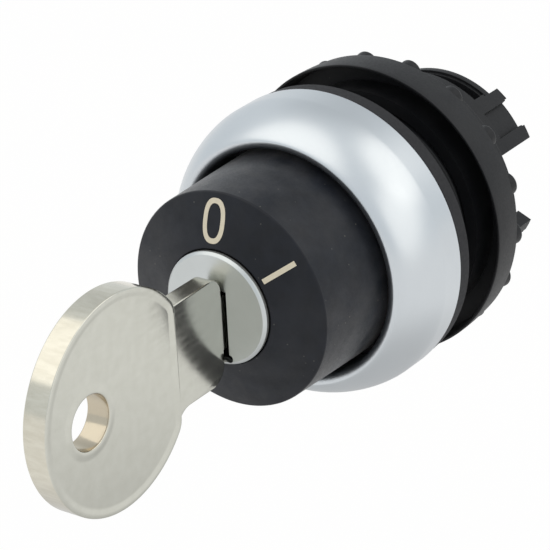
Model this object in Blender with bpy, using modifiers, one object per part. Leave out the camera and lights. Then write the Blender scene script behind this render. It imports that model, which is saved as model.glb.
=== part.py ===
# Key-operated selector switch for a 22 mm panel hole, key in the lock, two kept positions 60 degrees apart.
# Each piece is modelled face up: local +Z runs forward to the operator, local +Y is up. An empty on the
# switch's axis then tips the whole assembly so that it faces along world -Y. The origin lies on that axis
# in the front plane of the panel. Heights are forward of that plane, so depths behind it are negative.
import math

import bmesh
import bpy
from mathutils import Matrix

# Driving dimensions, in metres
GAP = 0.0003                   # clearance between neighbouring pieces

# Threaded neck and rear sleeve
NECK_WALL = 0.0020             # gives an outer radius of 10.9 mm, which passes a 22.3 mm hole
SNAP_UNDERCUT = 0.0004         # the bore is this much wider behind the snap shoulder
SNAP_SHOULDER = 0.0015         # height of the shoulder that the housing's snap fingers hook behind
SLEEVE_END = -0.0196           # rear ends of the castellations
FLANGE_WIDTH = 0.0027          # how far the flange stands out from the neck
FLANGE_REAR = 0.0013
FLANGE_FRONT = 0.0040
NOSE_WIDTH = 0.0030            # locating nose for the notched panel hole
NOSE_HEIGHT = 0.0019           # how far the nose stands out from the neck
NOSE_END = -0.0007

# Castellations: angles from the top, clockwise seen from the front, mirrored to all four quarters
BLOCK_START = math.radians(34.9)
BLOCK_END = math.radians(65.9)
TOOTH_WIDTH = math.radians(7.2)
TOOTH_DRAFT = math.radians(0.7)
TOOTH_STEP = 0.0004            # teeth stand this far behind the block between them
BLOCK_RELIEF = 0.0005          # block between the teeth lies this much deeper
RELIEF_LENGTH = 0.0044
NOTCH_FLOOR = -0.0120          # side notches run from here to the rear
WINDOW_FRONT = -0.0157         # latch windows at the top and bottom
WINDOW_REAR = -0.0189
WINDOW_JAMB = math.radians(1.2)  # step between a window's side and the lowered rim's
RIM_STEP = 0.0011              # rear rim at the windows lies this much lower than the neck
RIM_LIP = 0.0009               # how far the rim's lip reaches into the bore

# Front ring, a domed shell
BEZEL_FIT = 0.00035            # between the flange and the ring round it
BEZEL_REAR = 0.0013
BEZEL_RIM = 0.0026             # straight length behind the dome
BEZEL_CREST_WIDTH = 0.00083    # from the mouth out to the crest
BEZEL_CREST = 0.00915
BEZEL_AIR = 0.00042            # between the housing and the ring's mouth
BEZEL_LIP = 0.0005             # drop from the crest to the mouth
BEZEL_WALL = 0.0009
BEZEL_FOLD = 0.6               # share of the dome's height at which its inside folds to the skirt
DOME_POWER = 1.55              # 1 is a cone, 2 an ellipse
DOME_POINTS = 8

# Panel gasket
GASKET_WIDTH = 0.0038          # how far the gasket reaches from the neck

# Ring nut
NUT_FRONT = -0.00542
NUT_DEPTH = 0.00401            # how far the smooth band stands out from the neck
NUT_BAND = 0.0036              # length of the smooth band
NUT_LENGTH = 0.00525
KNOB_STEP = 0.0012             # body between the knobs lies this much deeper than the band
NUT_CHAMFER = 0.00015
NUT_BOSS_WALL = 0.0012
NUT_RIM_WALL = 0.0006
NUT_RECESS = 0.0030
KNOB_COUNT = 17
KNOB_R = 0.0011                # they end just inside the band's outline
KNOB_SETBACK = 0.0006          # and this far in front of the nut's rear
KNOB_PHASE = math.radians(10.3)

# Lock housing
HOUSING_COVER = 0.0008         # how far the housing reaches past the middle of its seal
HOUSING_TAPER = 0.0003         # the front is this much smaller in radius than the rear
HOUSING_EDGE = 0.0178
HOUSING_FACE_RISE = 0.0017     # the face is a low cone that rises towards the plug
HOUSING_EDGE_ROUND = 0.0002
HOUSING_FRONT_WALL = 0.0025
HOUSING_TAIL_WALL = 0.0009
SNAP_LIP = 0.0004
SNAP_LENGTH = 0.0007
SNAP_SLIT = 0.0016
SNAP_SLIT_DEPTH = 0.0028

# Lock barrel and plug
PLUG_HEAD_STEP = 0.00041       # the head is this much larger in radius than the plug behind it
PLUG_FRONT = 0.0201
PLUG_BEVEL = 0.0002
PLUG_R = 0.0052
BARREL_WALL = 0.0019
BARREL_FRONT = 0.0156
BARREL_REAR = 0.0030
BARREL_GROOVE_WALL = 0.0008    # left outside the grooves that the wafers drop into
KEYWAY_TOP = 0.0020            # mouth of the keyway in the plug's face
KEYWAY_BOTTOM = -0.0050
KEYWAY_MOUTH_DEPTH = 0.0020
KEYWAY_CORNER_R = 0.00040      # drilled lower corners of the mouth
CLIP_INSET = 0.0008            # from the barrel's outside to the plug's retaining clip
CLIP_THICKNESS = 0.0007
CLIP_GROOVE = 0.0006
CLIP_OPENING = math.radians(60.0)
PLUG_LAND = 0.0011             # collar behind the clip
TAIL_SIDE = 0.0050
TAIL_LENGTH = 0.0044

# Wafers and their springs
WAFER_COUNT = 5
WAFER_FIRST = 0.0140           # height of the front wafer
WAFER_PITCH = 0.0022
WAFER_THICKNESS = 0.0009
WAFER_HALF_WIDTH = 0.0036
WAFER_POCKET_IN = 0.0020       # inner side of the spring pocket
WAFER_POCKET_TOP = 0.0004
WAFER_SPRING_R = 0.00042
WAFER_SPRING_WALL = 0.00015
WAFER_SPRING_LENGTH = 0.0024

# Seals
HOUSING_SECTION_R = 0.00035    # half the thickness of the housing's seal
PLUG_SECTION_R = 0.0003        # half the thickness of the plug's seal
HOUSING_SEAL_INSET = 0.00135    # from the neck's bore to the middle of the seal

# Key
KEY_BOW_R = 0.0105
KEY_BOW_FLAT = 0.0086          # from the centre of the bow to its straight rear edge
KEY_BOW_DROP = -0.0021         # centre of the bow, from the axis
KEY_BOW_THICKNESS = 0.0025
KEY_BOW_ROUND = 0.0005
KEY_BOW_CORNER = 0.0022        # radius of the corners beside the straight edge
KEY_HOLE_R = 0.0029
KEY_HOLE_OFFSET = 0.0042       # hole is this far forward of the bow's centre
KEY_STEP_HEIGHT = 0.0276       # the bow steps down to the shank here
KEY_THICKNESS = 0.0020
KEY_SHANK_TOP = 0.0037
KEY_SHANK_BOTTOM = -0.0070
KEY_SHOULDER_ROUND = 0.0020    # lower corner of the shank
KEY_TOP_ROUND = 0.0015
KEY_BLADE_TOP = 0.0016
KEY_BLADE_BOTTOM = -0.0039
KEY_BLADE_LENGTH = 0.0159
KEY_BIT_DEPTHS = (0.0006, 0.0012, 0.0004, 0.0010, 0.0008)
KEY_BIT_FLAT = 0.0005          # half width of the floor of a bit

# Cam rotor, tappets and guide
TURN = math.radians(60.0)
ROTOR_CLEAR = 0.0004           # between the rotor's disc and the stops
ROTOR_DISC = 0.0020
ROTOR_HUB_R = 0.0045
ROTOR_HUB_LENGTH = 0.0044
RAMP_HUB_GAP = 0.0004          # between the hub and the ramps
RAMP_INSET = 0.0001            # from the disc's edge to the ramps
RAMP_START = 0.0002            # height of the ramp at its low end
RAMP_MARGIN = math.radians(2.0)
STROKE = 0.0030                # tappet travel over the whole turn
STOP_LUG_HALF = math.radians(8.0)
STOP_LUG_ANGLE = math.radians(270.0)
STOP_RIB = math.radians(10.0)
STOP_RIB_DEPTH = 0.0009        # how far the stops reach into the sleeve's bore
STOP_CLEAR = math.radians(2.5)
FOOT_HALF = math.radians(12.0)
FOOT_REAR = -0.0051
STEM_INNER_INSET = 0.0003      # from the ramp's inner side to the tappet's stem
STEM_OUTER_INSET = 0.0001
STEM_HALF_WIDTH = 0.0015
STEM_TIP = -0.0113
GUIDE_REAR = -0.0099
GUIDE_THICKNESS = 0.0014
SCREW_HEAD_R = 0.0029
SCREW_HEAD = 0.0013
SCREW_SHANK_R = 0.0010
SCREW_SHANK = 0.0030
SCREW_SLOT = 0.0007

# Detent between guide and rotor
DETENT_ANGLE = math.radians(96.0)
DETENT_BOSS_R = 0.0015
DETENT_BALL_R = 0.0008
DETENT_DIMPLE = 0.0005
DETENT_BORE_FLOOR = 0.0006     # guide material left under the spring
DETENT_SPRING_TURNS = 5
DETENT_WIRE_R = 0.00014

# Facets
ROUND_STEPS = 54
SMALL_STEPS = 32
SEAL_STEPS = 24
SEAL_SIDES = 6
SCREW_STEPS = 20
HOLE_STEPS = 16
KNOB_STEPS = 12
COIL_STEPS = 8
BOW_STEPS = 40
RING_HOLE_STEPS = 28
SHOULDER_STEPS = 6
CORNER_STEPS = 4
SECTOR_STEP = math.radians(5.0)
CLIP_STEP = math.radians(12.0)
SHARP_ANGLE = math.radians(32.0)

# Heights and radii that follow from the sizes above
PLUG_HEAD_R = PLUG_R + PLUG_HEAD_STEP
BARREL_BORE_R = PLUG_R + GAP
BARREL_R = BARREL_BORE_R + BARREL_WALL
HOUSING_BORE_R = BARREL_R + GAP
HOUSING_TAIL_R = HOUSING_BORE_R + HOUSING_TAIL_WALL
NECK_BORE_R = HOUSING_TAIL_R + GAP
SLEEVE_BORE_R = NECK_BORE_R + SNAP_UNDERCUT
NECK_R = NECK_BORE_R + NECK_WALL
FLANGE_R = NECK_R + FLANGE_WIDTH
NOSE_TOP = NECK_R + NOSE_HEIGHT
GASKET_R = NECK_R + GASKET_WIDTH
GASKET_FRONT = FLANGE_REAR - GAP
NUT_BAND_R = NECK_R + NUT_DEPTH
NUT_CORE_R = NUT_BAND_R - KNOB_STEP
HOUSING_SEAL_R = NECK_BORE_R + HOUSING_SEAL_INSET
HOUSING_REAR_R = HOUSING_SEAL_R + HOUSING_COVER
HOUSING_FRONT_R = HOUSING_REAR_R - HOUSING_TAPER
BEZEL_R = FLANGE_R + BEZEL_FIT + BEZEL_WALL
BEZEL_MOUTH_R = HOUSING_REAR_R + BEZEL_AIR
BEZEL_CREST_R = BEZEL_MOUTH_R + BEZEL_CREST_WIDTH
HOUSING_SEAT = FLANGE_FRONT + GAP
HOUSING_HOLE_R = PLUG_HEAD_R + GAP
HOUSING_TAIL_END = SNAP_SHOULDER - GAP - SNAP_LENGTH
HOUSING_FACE = HOUSING_EDGE + HOUSING_FACE_RISE
NUT_BORE_R = NECK_R + GAP
KEYWAY_HALF = KEY_THICKNESS / 2 + GAP
BLADE_ROOM_TOP = KEY_BLADE_TOP + GAP
BLADE_ROOM_BOTTOM = KEY_BLADE_BOTTOM - GAP
KEY_BOW_HEIGHT = KEY_STEP_HEIGHT + KEY_BOW_FLAT
KEY_SHOULDER = PLUG_FRONT + GAP
KEY_TIP = KEY_SHOULDER - KEY_BLADE_LENGTH
WAFER_R = PLUG_R - GAP / 2
WAFER_LAST = WAFER_FIRST - (WAFER_COUNT - 1) * WAFER_PITCH
WAFER_ROOM = WAFER_THICKNESS / 2 + GAP
CLIP_R = BARREL_R - CLIP_INSET
CLIP_FRONT = BARREL_REAR - GAP
CLIP_REAR = CLIP_FRONT - CLIP_THICKNESS
GROOVE_R = PLUG_R - CLIP_GROOVE
PLUG_REAR = CLIP_REAR - GAP - PLUG_LAND
TAIL_END = PLUG_REAR - TAIL_LENGTH
ROTOR_HUB_FRONT = PLUG_REAR - GAP
ROTOR_HUB_REAR = ROTOR_HUB_FRONT - ROTOR_HUB_LENGTH
STOP_LUG_R = SLEEVE_BORE_R - GAP
STOP_RIB_R = SLEEVE_BORE_R - STOP_RIB_DEPTH
ROTOR_R = STOP_RIB_R - ROTOR_CLEAR
RAMP_INNER_R = ROTOR_HUB_R + RAMP_HUB_GAP
RAMP_OUTER_R = ROTOR_R - RAMP_INSET
STEM_INNER = RAMP_INNER_R + STEM_INNER_INSET
STEM_OUTER = RAMP_OUTER_R - STEM_OUTER_INSET
DETENT_RADIUS = (RAMP_INNER_R + RAMP_OUTER_R) / 2
ROTOR_FRONT = HOUSING_TAIL_END - GAP
ROTOR_REAR = ROTOR_FRONT - ROTOR_DISC
LEAD = STROKE / TURN           # rise of the ramps, metres per radian
GUIDE_FRONT = GUIDE_REAR + GUIDE_THICKNESS
GUIDE_R = SLEEVE_BORE_R - GAP
BALL_HEIGHT = ROTOR_REAR - GAP - DETENT_BALL_R
SCREW_SEAT = ROTOR_HUB_REAR - GAP


def remove_old_objects():
    for old in list(bpy.data.objects):
        bpy.data.objects.remove(old, do_unlink=True)


def new_collection(name):
    group = bpy.data.collections.new(name)
    bpy.context.scene.collection.children.link(group)
    return group


def surface(name, rgb, roughness, metallic):
    material = bpy.data.materials.new(name)
    material.use_nodes = True
    shader = material.node_tree.nodes["Principled BSDF"]
    shader.inputs["Base Color"].default_value = (*rgb, 1.0)
    shader.inputs["Roughness"].default_value = roughness
    shader.inputs["Metallic"].default_value = metallic
    return material


remove_old_objects()
parts = new_collection("key_selector_switch")
cutters = new_collection("cutters")

satin_silver = surface("satin_silver", (0.60, 0.64, 0.67), 0.32, 1.0)
black_plastic = surface("black_plastic", (0.028, 0.029, 0.032), 0.55, 0.0)
dark_rubber = surface("dark_rubber", (0.055, 0.056, 0.060), 0.75, 0.0)
nickel = surface("nickel", (0.58, 0.57, 0.52), 0.22, 1.0)
plug_nickel = surface("plug_nickel", (0.48, 0.50, 0.48), 0.35, 1.0)
brass = surface("brass", (0.62, 0.45, 0.18), 0.35, 1.0)
zinc = surface("zinc", (0.42, 0.43, 0.44), 0.45, 1.0)
spring_steel = surface("spring_steel", (0.50, 0.50, 0.50), 0.30, 1.0)
white_plastic = surface("white_plastic", (0.75, 0.74, 0.70), 0.45, 0.0)

# Everything hangs on this empty, which lies on the axis and faces the switch along -Y
switch_axis = bpy.data.objects.new("switch_axis", None)
switch_axis.rotation_euler = (math.pi / 2, 0.0, 0.0)
parts.objects.link(switch_axis)
# Turning pieces hang on a second empty on the same axis, and the tappets and nut on their own
lock_axis = bpy.data.objects.new("lock_axis", None)
lock_axis.parent = switch_axis
parts.objects.link(lock_axis)


def place(name, mesh, material=None, parent=switch_axis):
    obj = bpy.data.objects.new(name, mesh)
    obj.parent = parent
    if material is None:
        cutters.objects.link(obj)
        obj.hide_render = True
        obj.display_type = 'WIRE'
    else:
        mesh.materials.append(material)
        parts.objects.link(obj)
    return obj


def from_bmesh(name, bm, material=None, parent=switch_axis):
    mesh = bpy.data.meshes.new(name)
    bm.to_mesh(mesh)
    bm.free()
    return place(name, mesh, material, parent)


def turned(name, profile, material=None, parent=switch_axis, steps=ROUND_STEPS, closed=True):
    # The profile is (radius, height) pairs, down the outer side and back up the inner side
    mesh = bpy.data.meshes.new(name)
    edges = [(i, i + 1) for i in range(len(profile) - 1)]
    if closed:
        edges.append((len(profile) - 1, 0))
    mesh.from_pydata([(radius, 0.0, height) for radius, height in profile], edges, [])
    obj = place(name, mesh, material, parent)
    screw = obj.modifiers.new("Turn", 'SCREW')
    screw.steps = steps
    screw.render_steps = steps
    screw.use_merge_vertices = True
    screw.merge_threshold = 1e-7
    return obj


def ring_seal(name, radius, section, height):
    corners = [2 * math.pi * i / SEAL_SIDES for i in range(SEAL_SIDES)]
    profile = [(radius + section * math.cos(a), height - section * math.sin(a)) for a in corners]
    return turned(name, profile, dark_rubber, steps=SEAL_STEPS)


def block(name, x, y, z, material=None, parent=switch_axis):
    # Each of x, y and z is a (low, high) pair
    bm = bmesh.new()
    bmesh.ops.create_cube(bm, size=1.0)
    size = [high - low for low, high in (x, y, z)]
    middle = [(high + low) / 2 for low, high in (x, y, z)]
    bmesh.ops.transform(bm, matrix=Matrix.Translation(middle) @ Matrix.Diagonal((*size, 1.0)), verts=bm.verts)
    return from_bmesh(name, bm, material, parent)


def bar(name, radius, low, high, at=(0.0, 0.0), material=None, parent=switch_axis, steps=SMALL_STEPS):
    bm = bmesh.new()
    bmesh.ops.create_cone(bm, cap_ends=True, segments=steps, radius1=radius, radius2=radius, depth=high - low)
    bmesh.ops.translate(bm, vec=(at[0], at[1], (low + high) / 2), verts=bm.verts)
    return from_bmesh(name, bm, material, parent)


def ball(name, radius, centre, material=None, parent=switch_axis):
    bm = bmesh.new()
    bmesh.ops.create_uvsphere(bm, u_segments=KNOB_STEPS, v_segments=KNOB_STEPS // 2, radius=radius)
    bmesh.ops.translate(bm, vec=centre, verts=bm.verts)
    return from_bmesh(name, bm, material, parent)


def sector(name, inner, outer, start, end, low, high, material=None, parent=switch_axis, step=SECTOR_STEP):
    # A loft of rectangles set round the axis: low and high are heights, or functions of the angle
    low_at = low if callable(low) else lambda angle: low
    high_at = high if callable(high) else lambda angle: high
    count = max(1, round((end - start) / step))
    bm = bmesh.new()
    sections = []
    for i in range(count + 1):
        angle = start + (end - start) * i / count
        x, y = math.cos(angle), math.sin(angle)
        floor, top = low_at(angle), high_at(angle)
        corners = ((inner, floor), (outer, floor), (outer, top), (inner, top))
        sections.append([bm.verts.new((r * x, r * y, h)) for r, h in corners])
    for this, following in zip(sections, sections[1:]):
        for k in range(4):
            n = (k + 1) % 4
            bm.faces.new((this[k], this[n], following[n], following[k]))
    bm.faces.new(sections[0])
    bm.faces.new(sections[-1])
    bmesh.ops.recalc_face_normals(bm, faces=bm.faces)
    return from_bmesh(name, bm, material, parent)


def join_by(obj, tool, operation='DIFFERENCE'):
    boolean = obj.modifiers.new(tool.name, 'BOOLEAN')
    boolean.operation = operation
    boolean.solver = 'EXACT'
    boolean.object = tool


def applied(obj):
    # The evaluated mesh, welded, so that copies can share it or a later step can cut it
    bpy.context.view_layer.update()
    evaluated = obj.evaluated_get(bpy.context.evaluated_depsgraph_get())
    mesh = bpy.data.meshes.new_from_object(evaluated)
    bm = bmesh.new()
    bm.from_mesh(mesh)
    bmesh.ops.remove_doubles(bm, verts=bm.verts, dist=1e-7)
    bm.to_mesh(mesh)
    bm.free()
    return mesh


def from_top(angle):
    # Angles on the front are read clockwise from the top, those of the model run the other way from +X
    return math.pi / 2 - angle


def quarter_mirrors(start, end):
    # The same stretch in all four quarters, as model angles
    spans = []
    right = ((start, end), (math.pi - end, math.pi - start))
    left = ((math.pi + start, math.pi + end), (-end, -start))
    for a, b in right + left:
        spans.append((from_top(b), from_top(a)))
    return spans


def make_actuator_body():
    groove_in = HOUSING_SEAL_R - HOUSING_SECTION_R - GAP
    groove_out = HOUSING_SEAL_R + HOUSING_SECTION_R + GAP
    groove_floor = FLANGE_FRONT - 2 * HOUSING_SECTION_R - GAP
    body = turned("actuator_body", [
        (FLANGE_R, FLANGE_FRONT), (FLANGE_R, FLANGE_REAR), (NECK_R, FLANGE_REAR), (NECK_R, SLEEVE_END),
        (SLEEVE_BORE_R, SLEEVE_END), (SLEEVE_BORE_R, SNAP_SHOULDER), (NECK_BORE_R, SNAP_SHOULDER),
        (NECK_BORE_R, FLANGE_FRONT), (groove_in, FLANGE_FRONT), (groove_in, groove_floor),
        (groove_out, groove_floor), (groove_out, FLANGE_FRONT)], black_plastic)
    nose = block("nose", (-NOSE_WIDTH / 2, NOSE_WIDTH / 2), ((NECK_R + NECK_BORE_R) / 2, NOSE_TOP),
                 (NOSE_END, (FLANGE_REAR + FLANGE_FRONT) / 2))
    join_by(body, nose, 'UNION')
    # Stops for the rotor's lug, one at each end of its turn
    lug_room = STOP_LUG_HALF + STOP_CLEAR
    last_edge = STOP_LUG_ANGLE - TURN - lug_room - STOP_RIB
    for side, edge in (("first", STOP_LUG_ANGLE + lug_room), ("last", last_edge)):
        rib = sector(f"stop_{side}", STOP_RIB_R, (SLEEVE_BORE_R + NECK_R) / 2, edge, edge + STOP_RIB,
                     ROTOR_REAR, ROTOR_FRONT)
        join_by(body, rib, 'UNION')
    past = NECK_R + 4 * GAP
    inside = SLEEVE_BORE_R - 4 * GAP
    behind = SLEEVE_END - 4 * GAP
    for side, middle in (("right", 0.0), ("left", math.pi)):
        half = math.pi / 2 - BLOCK_END
        join_by(body, sector(f"notch_{side}", inside, past, middle - half, middle + half,
                             behind, NOTCH_FLOOR))
    for side, middle in (("top", math.pi / 2), ("bottom", -math.pi / 2)):
        window_half = BLOCK_START - WINDOW_JAMB
        join_by(body, sector(f"window_{side}", inside, past, middle - window_half, middle + window_half,
                             WINDOW_REAR, WINDOW_FRONT))
        join_by(body, sector(f"rim_{side}", NECK_R - RIM_STEP, past,
                             middle - BLOCK_START, middle + BLOCK_START,
                             behind, (WINDOW_REAR + WINDOW_FRONT) / 2))
        lip_half = window_half - WINDOW_JAMB
        lip_root = (SLEEVE_BORE_R + NECK_R - RIM_STEP) / 2
        lip = sector(f"lip_{side}", SLEEVE_BORE_R - RIM_LIP, lip_root, middle - lip_half, middle + lip_half,
                     SLEEVE_END + TOOTH_STEP, WINDOW_REAR + GAP)
        join_by(body, lip, 'UNION')
    for i, (start, end) in enumerate(quarter_mirrors(BLOCK_START + TOOTH_WIDTH, BLOCK_END - TOOTH_WIDTH)):
        join_by(body, sector(f"gap_{i}", inside, past, start, end, behind, SLEEVE_END + TOOTH_STEP))
        join_by(body, sector(f"relief_{i}", NECK_R - BLOCK_RELIEF, past,
                             start + TOOTH_DRAFT, end - TOOTH_DRAFT,
                             behind, SLEEVE_END + RELIEF_LENGTH))
    return body


def make_bezel_ring():
    dome_foot = BEZEL_REAR + BEZEL_RIM
    outline = [(BEZEL_MOUTH_R, BEZEL_CREST - BEZEL_LIP)]
    for i in range(DOME_POINTS + 1):
        turn = math.pi / 2 * (1 - i / DOME_POINTS)
        out = abs(math.cos(turn)) ** (2 / DOME_POWER)
        rise = abs(math.sin(turn)) ** (2 / DOME_POWER)
        outline.append((BEZEL_CREST_R + (BEZEL_R - BEZEL_CREST_R) * out,
                        dome_foot + (BEZEL_CREST - dome_foot) * rise))
    skirt_r = BEZEL_MOUTH_R + BEZEL_WALL
    skirt_end = FLANGE_FRONT + GAP
    inner_top = dome_foot + (BEZEL_CREST - dome_foot) * BEZEL_FOLD
    inner_r = BEZEL_R - BEZEL_WALL
    outline += [(BEZEL_R, BEZEL_REAR), (inner_r, BEZEL_REAR), (inner_r, dome_foot + GAP),
                (skirt_r + GAP, inner_top), (skirt_r, inner_top), (skirt_r, skirt_end),
                (BEZEL_MOUTH_R, skirt_end)]
    return turned("bezel_ring", outline, satin_silver)


def make_panel_gasket():
    bore_r = NECK_R + GAP
    gasket = turned("panel_gasket", [
        (GASKET_R, GASKET_FRONT), (GASKET_R, 0.0), (bore_r, 0.0), (bore_r, GASKET_FRONT)], dark_rubber)
    notch = block("nose_notch", (-NOSE_WIDTH / 2 - GAP, NOSE_WIDTH / 2 + GAP), (NECK_BORE_R, NOSE_TOP + GAP),
                  (-GAP, GASKET_FRONT + GAP))
    join_by(gasket, notch)
    return gasket


def make_ring_nut():
    nut_axis = bpy.data.objects.new("nut_axis", None)
    nut_axis.parent = switch_axis
    parts.objects.link(nut_axis)
    band_rear = NUT_FRONT - NUT_BAND
    rear = NUT_FRONT - NUT_LENGTH
    boss_r = NUT_BORE_R + NUT_BOSS_WALL
    rim_r = NUT_BAND_R - NUT_RIM_WALL
    floor = NUT_FRONT - NUT_RECESS
    nut = turned("ring_nut", [
        (rim_r, NUT_FRONT), (NUT_BAND_R - NUT_CHAMFER, NUT_FRONT), (NUT_BAND_R, NUT_FRONT - NUT_CHAMFER),
        (NUT_BAND_R, band_rear), (NUT_CORE_R, band_rear), (NUT_CORE_R, rear + NUT_CHAMFER),
        (NUT_CORE_R - NUT_CHAMFER, rear), (NUT_BORE_R, rear), (NUT_BORE_R, NUT_FRONT), (boss_r, NUT_FRONT),
        (boss_r, floor), (rim_r, floor)], black_plastic, nut_axis, 4 * KNOB_COUNT)
    for k in range(KNOB_COUNT):
        angle = from_top(KNOB_PHASE + 2 * math.pi * k / KNOB_COUNT)
        at = (NUT_CORE_R * math.cos(angle), NUT_CORE_R * math.sin(angle))
        knob = bar(f"knob_{k}", KNOB_R, rear + KNOB_SETBACK, band_rear + GAP, at,
                   parent=nut_axis, steps=KNOB_STEPS)
        join_by(nut, knob, 'UNION')
    return nut


def make_lock_housing():
    edge_in = HOUSING_FRONT_R - HOUSING_EDGE_ROUND
    housing = turned("lock_housing", [
        (HOUSING_HOLE_R, HOUSING_FACE), (edge_in, HOUSING_EDGE),
        (HOUSING_FRONT_R, HOUSING_EDGE - HOUSING_EDGE_ROUND),
        (HOUSING_REAR_R, HOUSING_SEAT), (HOUSING_TAIL_R, HOUSING_SEAT), (HOUSING_TAIL_R, SNAP_SHOULDER - GAP),
        (HOUSING_TAIL_R + SNAP_LIP, SNAP_SHOULDER - GAP), (HOUSING_TAIL_R, HOUSING_TAIL_END),
        (HOUSING_BORE_R, HOUSING_TAIL_END), (HOUSING_BORE_R, HOUSING_FACE - HOUSING_FRONT_WALL),
        (HOUSING_HOLE_R, HOUSING_FACE - HOUSING_FRONT_WALL)], black_plastic)
    # Slits leave four springy fingers at the tail
    reach = HOUSING_TAIL_R + SNAP_LIP + GAP
    depth = (HOUSING_TAIL_END - GAP, HOUSING_TAIL_END + SNAP_SLIT_DEPTH)
    half = SNAP_SLIT / 2
    join_by(housing, block("slit_across", (-reach, reach), (-half, half), depth))
    join_by(housing, block("slit_upright", (-half, half), (-reach, reach), depth))
    return housing


def make_lock_barrel():
    barrel = turned("lock_barrel", [
        (BARREL_R, BARREL_FRONT), (BARREL_R, BARREL_REAR), (BARREL_BORE_R, BARREL_REAR),
        (BARREL_BORE_R, BARREL_FRONT)], zinc, steps=SMALL_STEPS)
    half = WAFER_HALF_WIDTH + GAP
    reach = BARREL_R - BARREL_GROOVE_WALL
    span = (WAFER_LAST - WAFER_ROOM, WAFER_FIRST + WAFER_ROOM)
    join_by(barrel, block("wafer_groove", (-half, half), (-reach, reach), span))
    return barrel


def make_lock_plug():
    head_rear = BARREL_FRONT + GAP
    plug = turned("lock_plug", [
        (0.0, PLUG_FRONT), (PLUG_HEAD_R - PLUG_BEVEL, PLUG_FRONT), (PLUG_HEAD_R, PLUG_FRONT - PLUG_BEVEL),
        (PLUG_HEAD_R, head_rear), (PLUG_R, head_rear), (PLUG_R, BARREL_REAR), (GROOVE_R, BARREL_REAR),
        (GROOVE_R, CLIP_REAR - GAP), (PLUG_R, CLIP_REAR - GAP), (PLUG_R, PLUG_REAR), (0.0, PLUG_REAR)],
        plug_nickel, lock_axis, SMALL_STEPS, closed=False)
    half = TAIL_SIDE / 2
    tail = block("tail", (-half, half), (-half, half), (TAIL_END, (PLUG_REAR + CLIP_REAR) / 2),
                 parent=lock_axis)
    join_by(plug, tail, 'UNION')
    join_by(plug, bar("screw_hole", SCREW_SHANK_R + GAP, TAIL_END - GAP, SCREW_SEAT + SCREW_SHANK + GAP,
                      parent=lock_axis, steps=HOLE_STEPS))
    front = PLUG_FRONT + GAP
    join_by(plug, block("keyway_mouth", (-KEYWAY_HALF, KEYWAY_HALF), (KEYWAY_BOTTOM, KEYWAY_TOP),
                        (PLUG_FRONT - KEYWAY_MOUTH_DEPTH, front), parent=lock_axis))
    for side, x in (("left", -KEYWAY_HALF), ("right", KEYWAY_HALF)):
        join_by(plug, bar(f"mouth_corner_{side}", KEYWAY_CORNER_R, PLUG_FRONT - KEYWAY_MOUTH_DEPTH, front,
                          (x, KEYWAY_BOTTOM + KEYWAY_CORNER_R / 2), parent=lock_axis, steps=KNOB_STEPS))
    join_by(plug, block("keyway", (-KEYWAY_HALF, KEYWAY_HALF), (BLADE_ROOM_BOTTOM, BLADE_ROOM_TOP),
                        (KEY_TIP - GAP, front), parent=lock_axis))
    wide = WAFER_HALF_WIDTH + GAP
    for k in range(WAFER_COUNT):
        height = WAFER_FIRST - k * WAFER_PITCH
        join_by(plug, block(f"wafer_slot_{k + 1}", (-wide, wide), (-PLUG_HEAD_R, PLUG_HEAD_R),
                            (height - WAFER_ROOM, height + WAFER_ROOM), parent=lock_axis))
    return plug


def make_wafers():
    half = WAFER_THICKNESS / 2
    blank = bar("wafer_blank", WAFER_R, -half, half, parent=lock_axis, steps=SEAL_STEPS)
    sides = block("wafer_sides", (-WAFER_HALF_WIDTH, WAFER_HALF_WIDTH), (-PLUG_R, PLUG_R),
                  (-WAFER_THICKNESS, WAFER_THICKNESS), parent=lock_axis)
    join_by(blank, sides, 'INTERSECT')
    window = block("wafer_window", (-KEYWAY_HALF, KEYWAY_HALF), (BLADE_ROOM_BOTTOM, BLADE_ROOM_TOP),
                   (-WAFER_THICKNESS, WAFER_THICKNESS), parent=lock_axis)
    join_by(blank, window)
    pocket_bottom = WAFER_POCKET_TOP - WAFER_SPRING_LENGTH - 2 * GAP
    pocket = block("spring_pocket", (-WAFER_HALF_WIDTH - GAP, -WAFER_POCKET_IN),
                   (pocket_bottom, WAFER_POCKET_TOP), (-WAFER_THICKNESS, WAFER_THICKNESS), parent=lock_axis)
    join_by(blank, pocket)
    wafer = applied(blank)
    wafer.materials.append(brass)
    # Each spring stands upright in its wafer's pocket and is drawn as the tube its coils fill
    tube = turned("spring_tube", [
        (WAFER_SPRING_R, WAFER_SPRING_LENGTH), (WAFER_SPRING_R, 0.0),
        (WAFER_SPRING_R - WAFER_SPRING_WALL, 0.0), (WAFER_SPRING_R - WAFER_SPRING_WALL, WAFER_SPRING_LENGTH)],
        parent=lock_axis, steps=COIL_STEPS)
    spring = applied(tube)
    spring.materials.append(spring_steel)
    spring_x = -WAFER_POCKET_IN - GAP - WAFER_SPRING_R
    for k in range(WAFER_COUNT):
        height = WAFER_FIRST - k * WAFER_PITCH
        plate = bpy.data.objects.new(f"wafer_{k + 1}", wafer)
        coil = bpy.data.objects.new(f"wafer_spring_{k + 1}", spring)
        for obj in (plate, coil):
            obj.parent = lock_axis
            parts.objects.link(obj)
        plate.location = (0.0, 0.0, height)
        coil.location = (spring_x, pocket_bottom + GAP, height)
        coil.rotation_euler = (-math.pi / 2, 0.0, 0.0)


def make_plug_circlip():
    inner = GROOVE_R + GAP
    half = CLIP_OPENING / 2
    return sector("plug_circlip", inner, CLIP_R, half - math.pi / 2, 1.5 * math.pi - half,
                  CLIP_REAR, CLIP_FRONT, spring_steel, lock_axis, CLIP_STEP)


def arc(centre, radius, start, end, count):
    return [(centre[0] + radius * math.cos(start + (end - start) * i / count),
             centre[1] + radius * math.sin(start + (end - start) * i / count)) for i in range(count + 1)]


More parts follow.
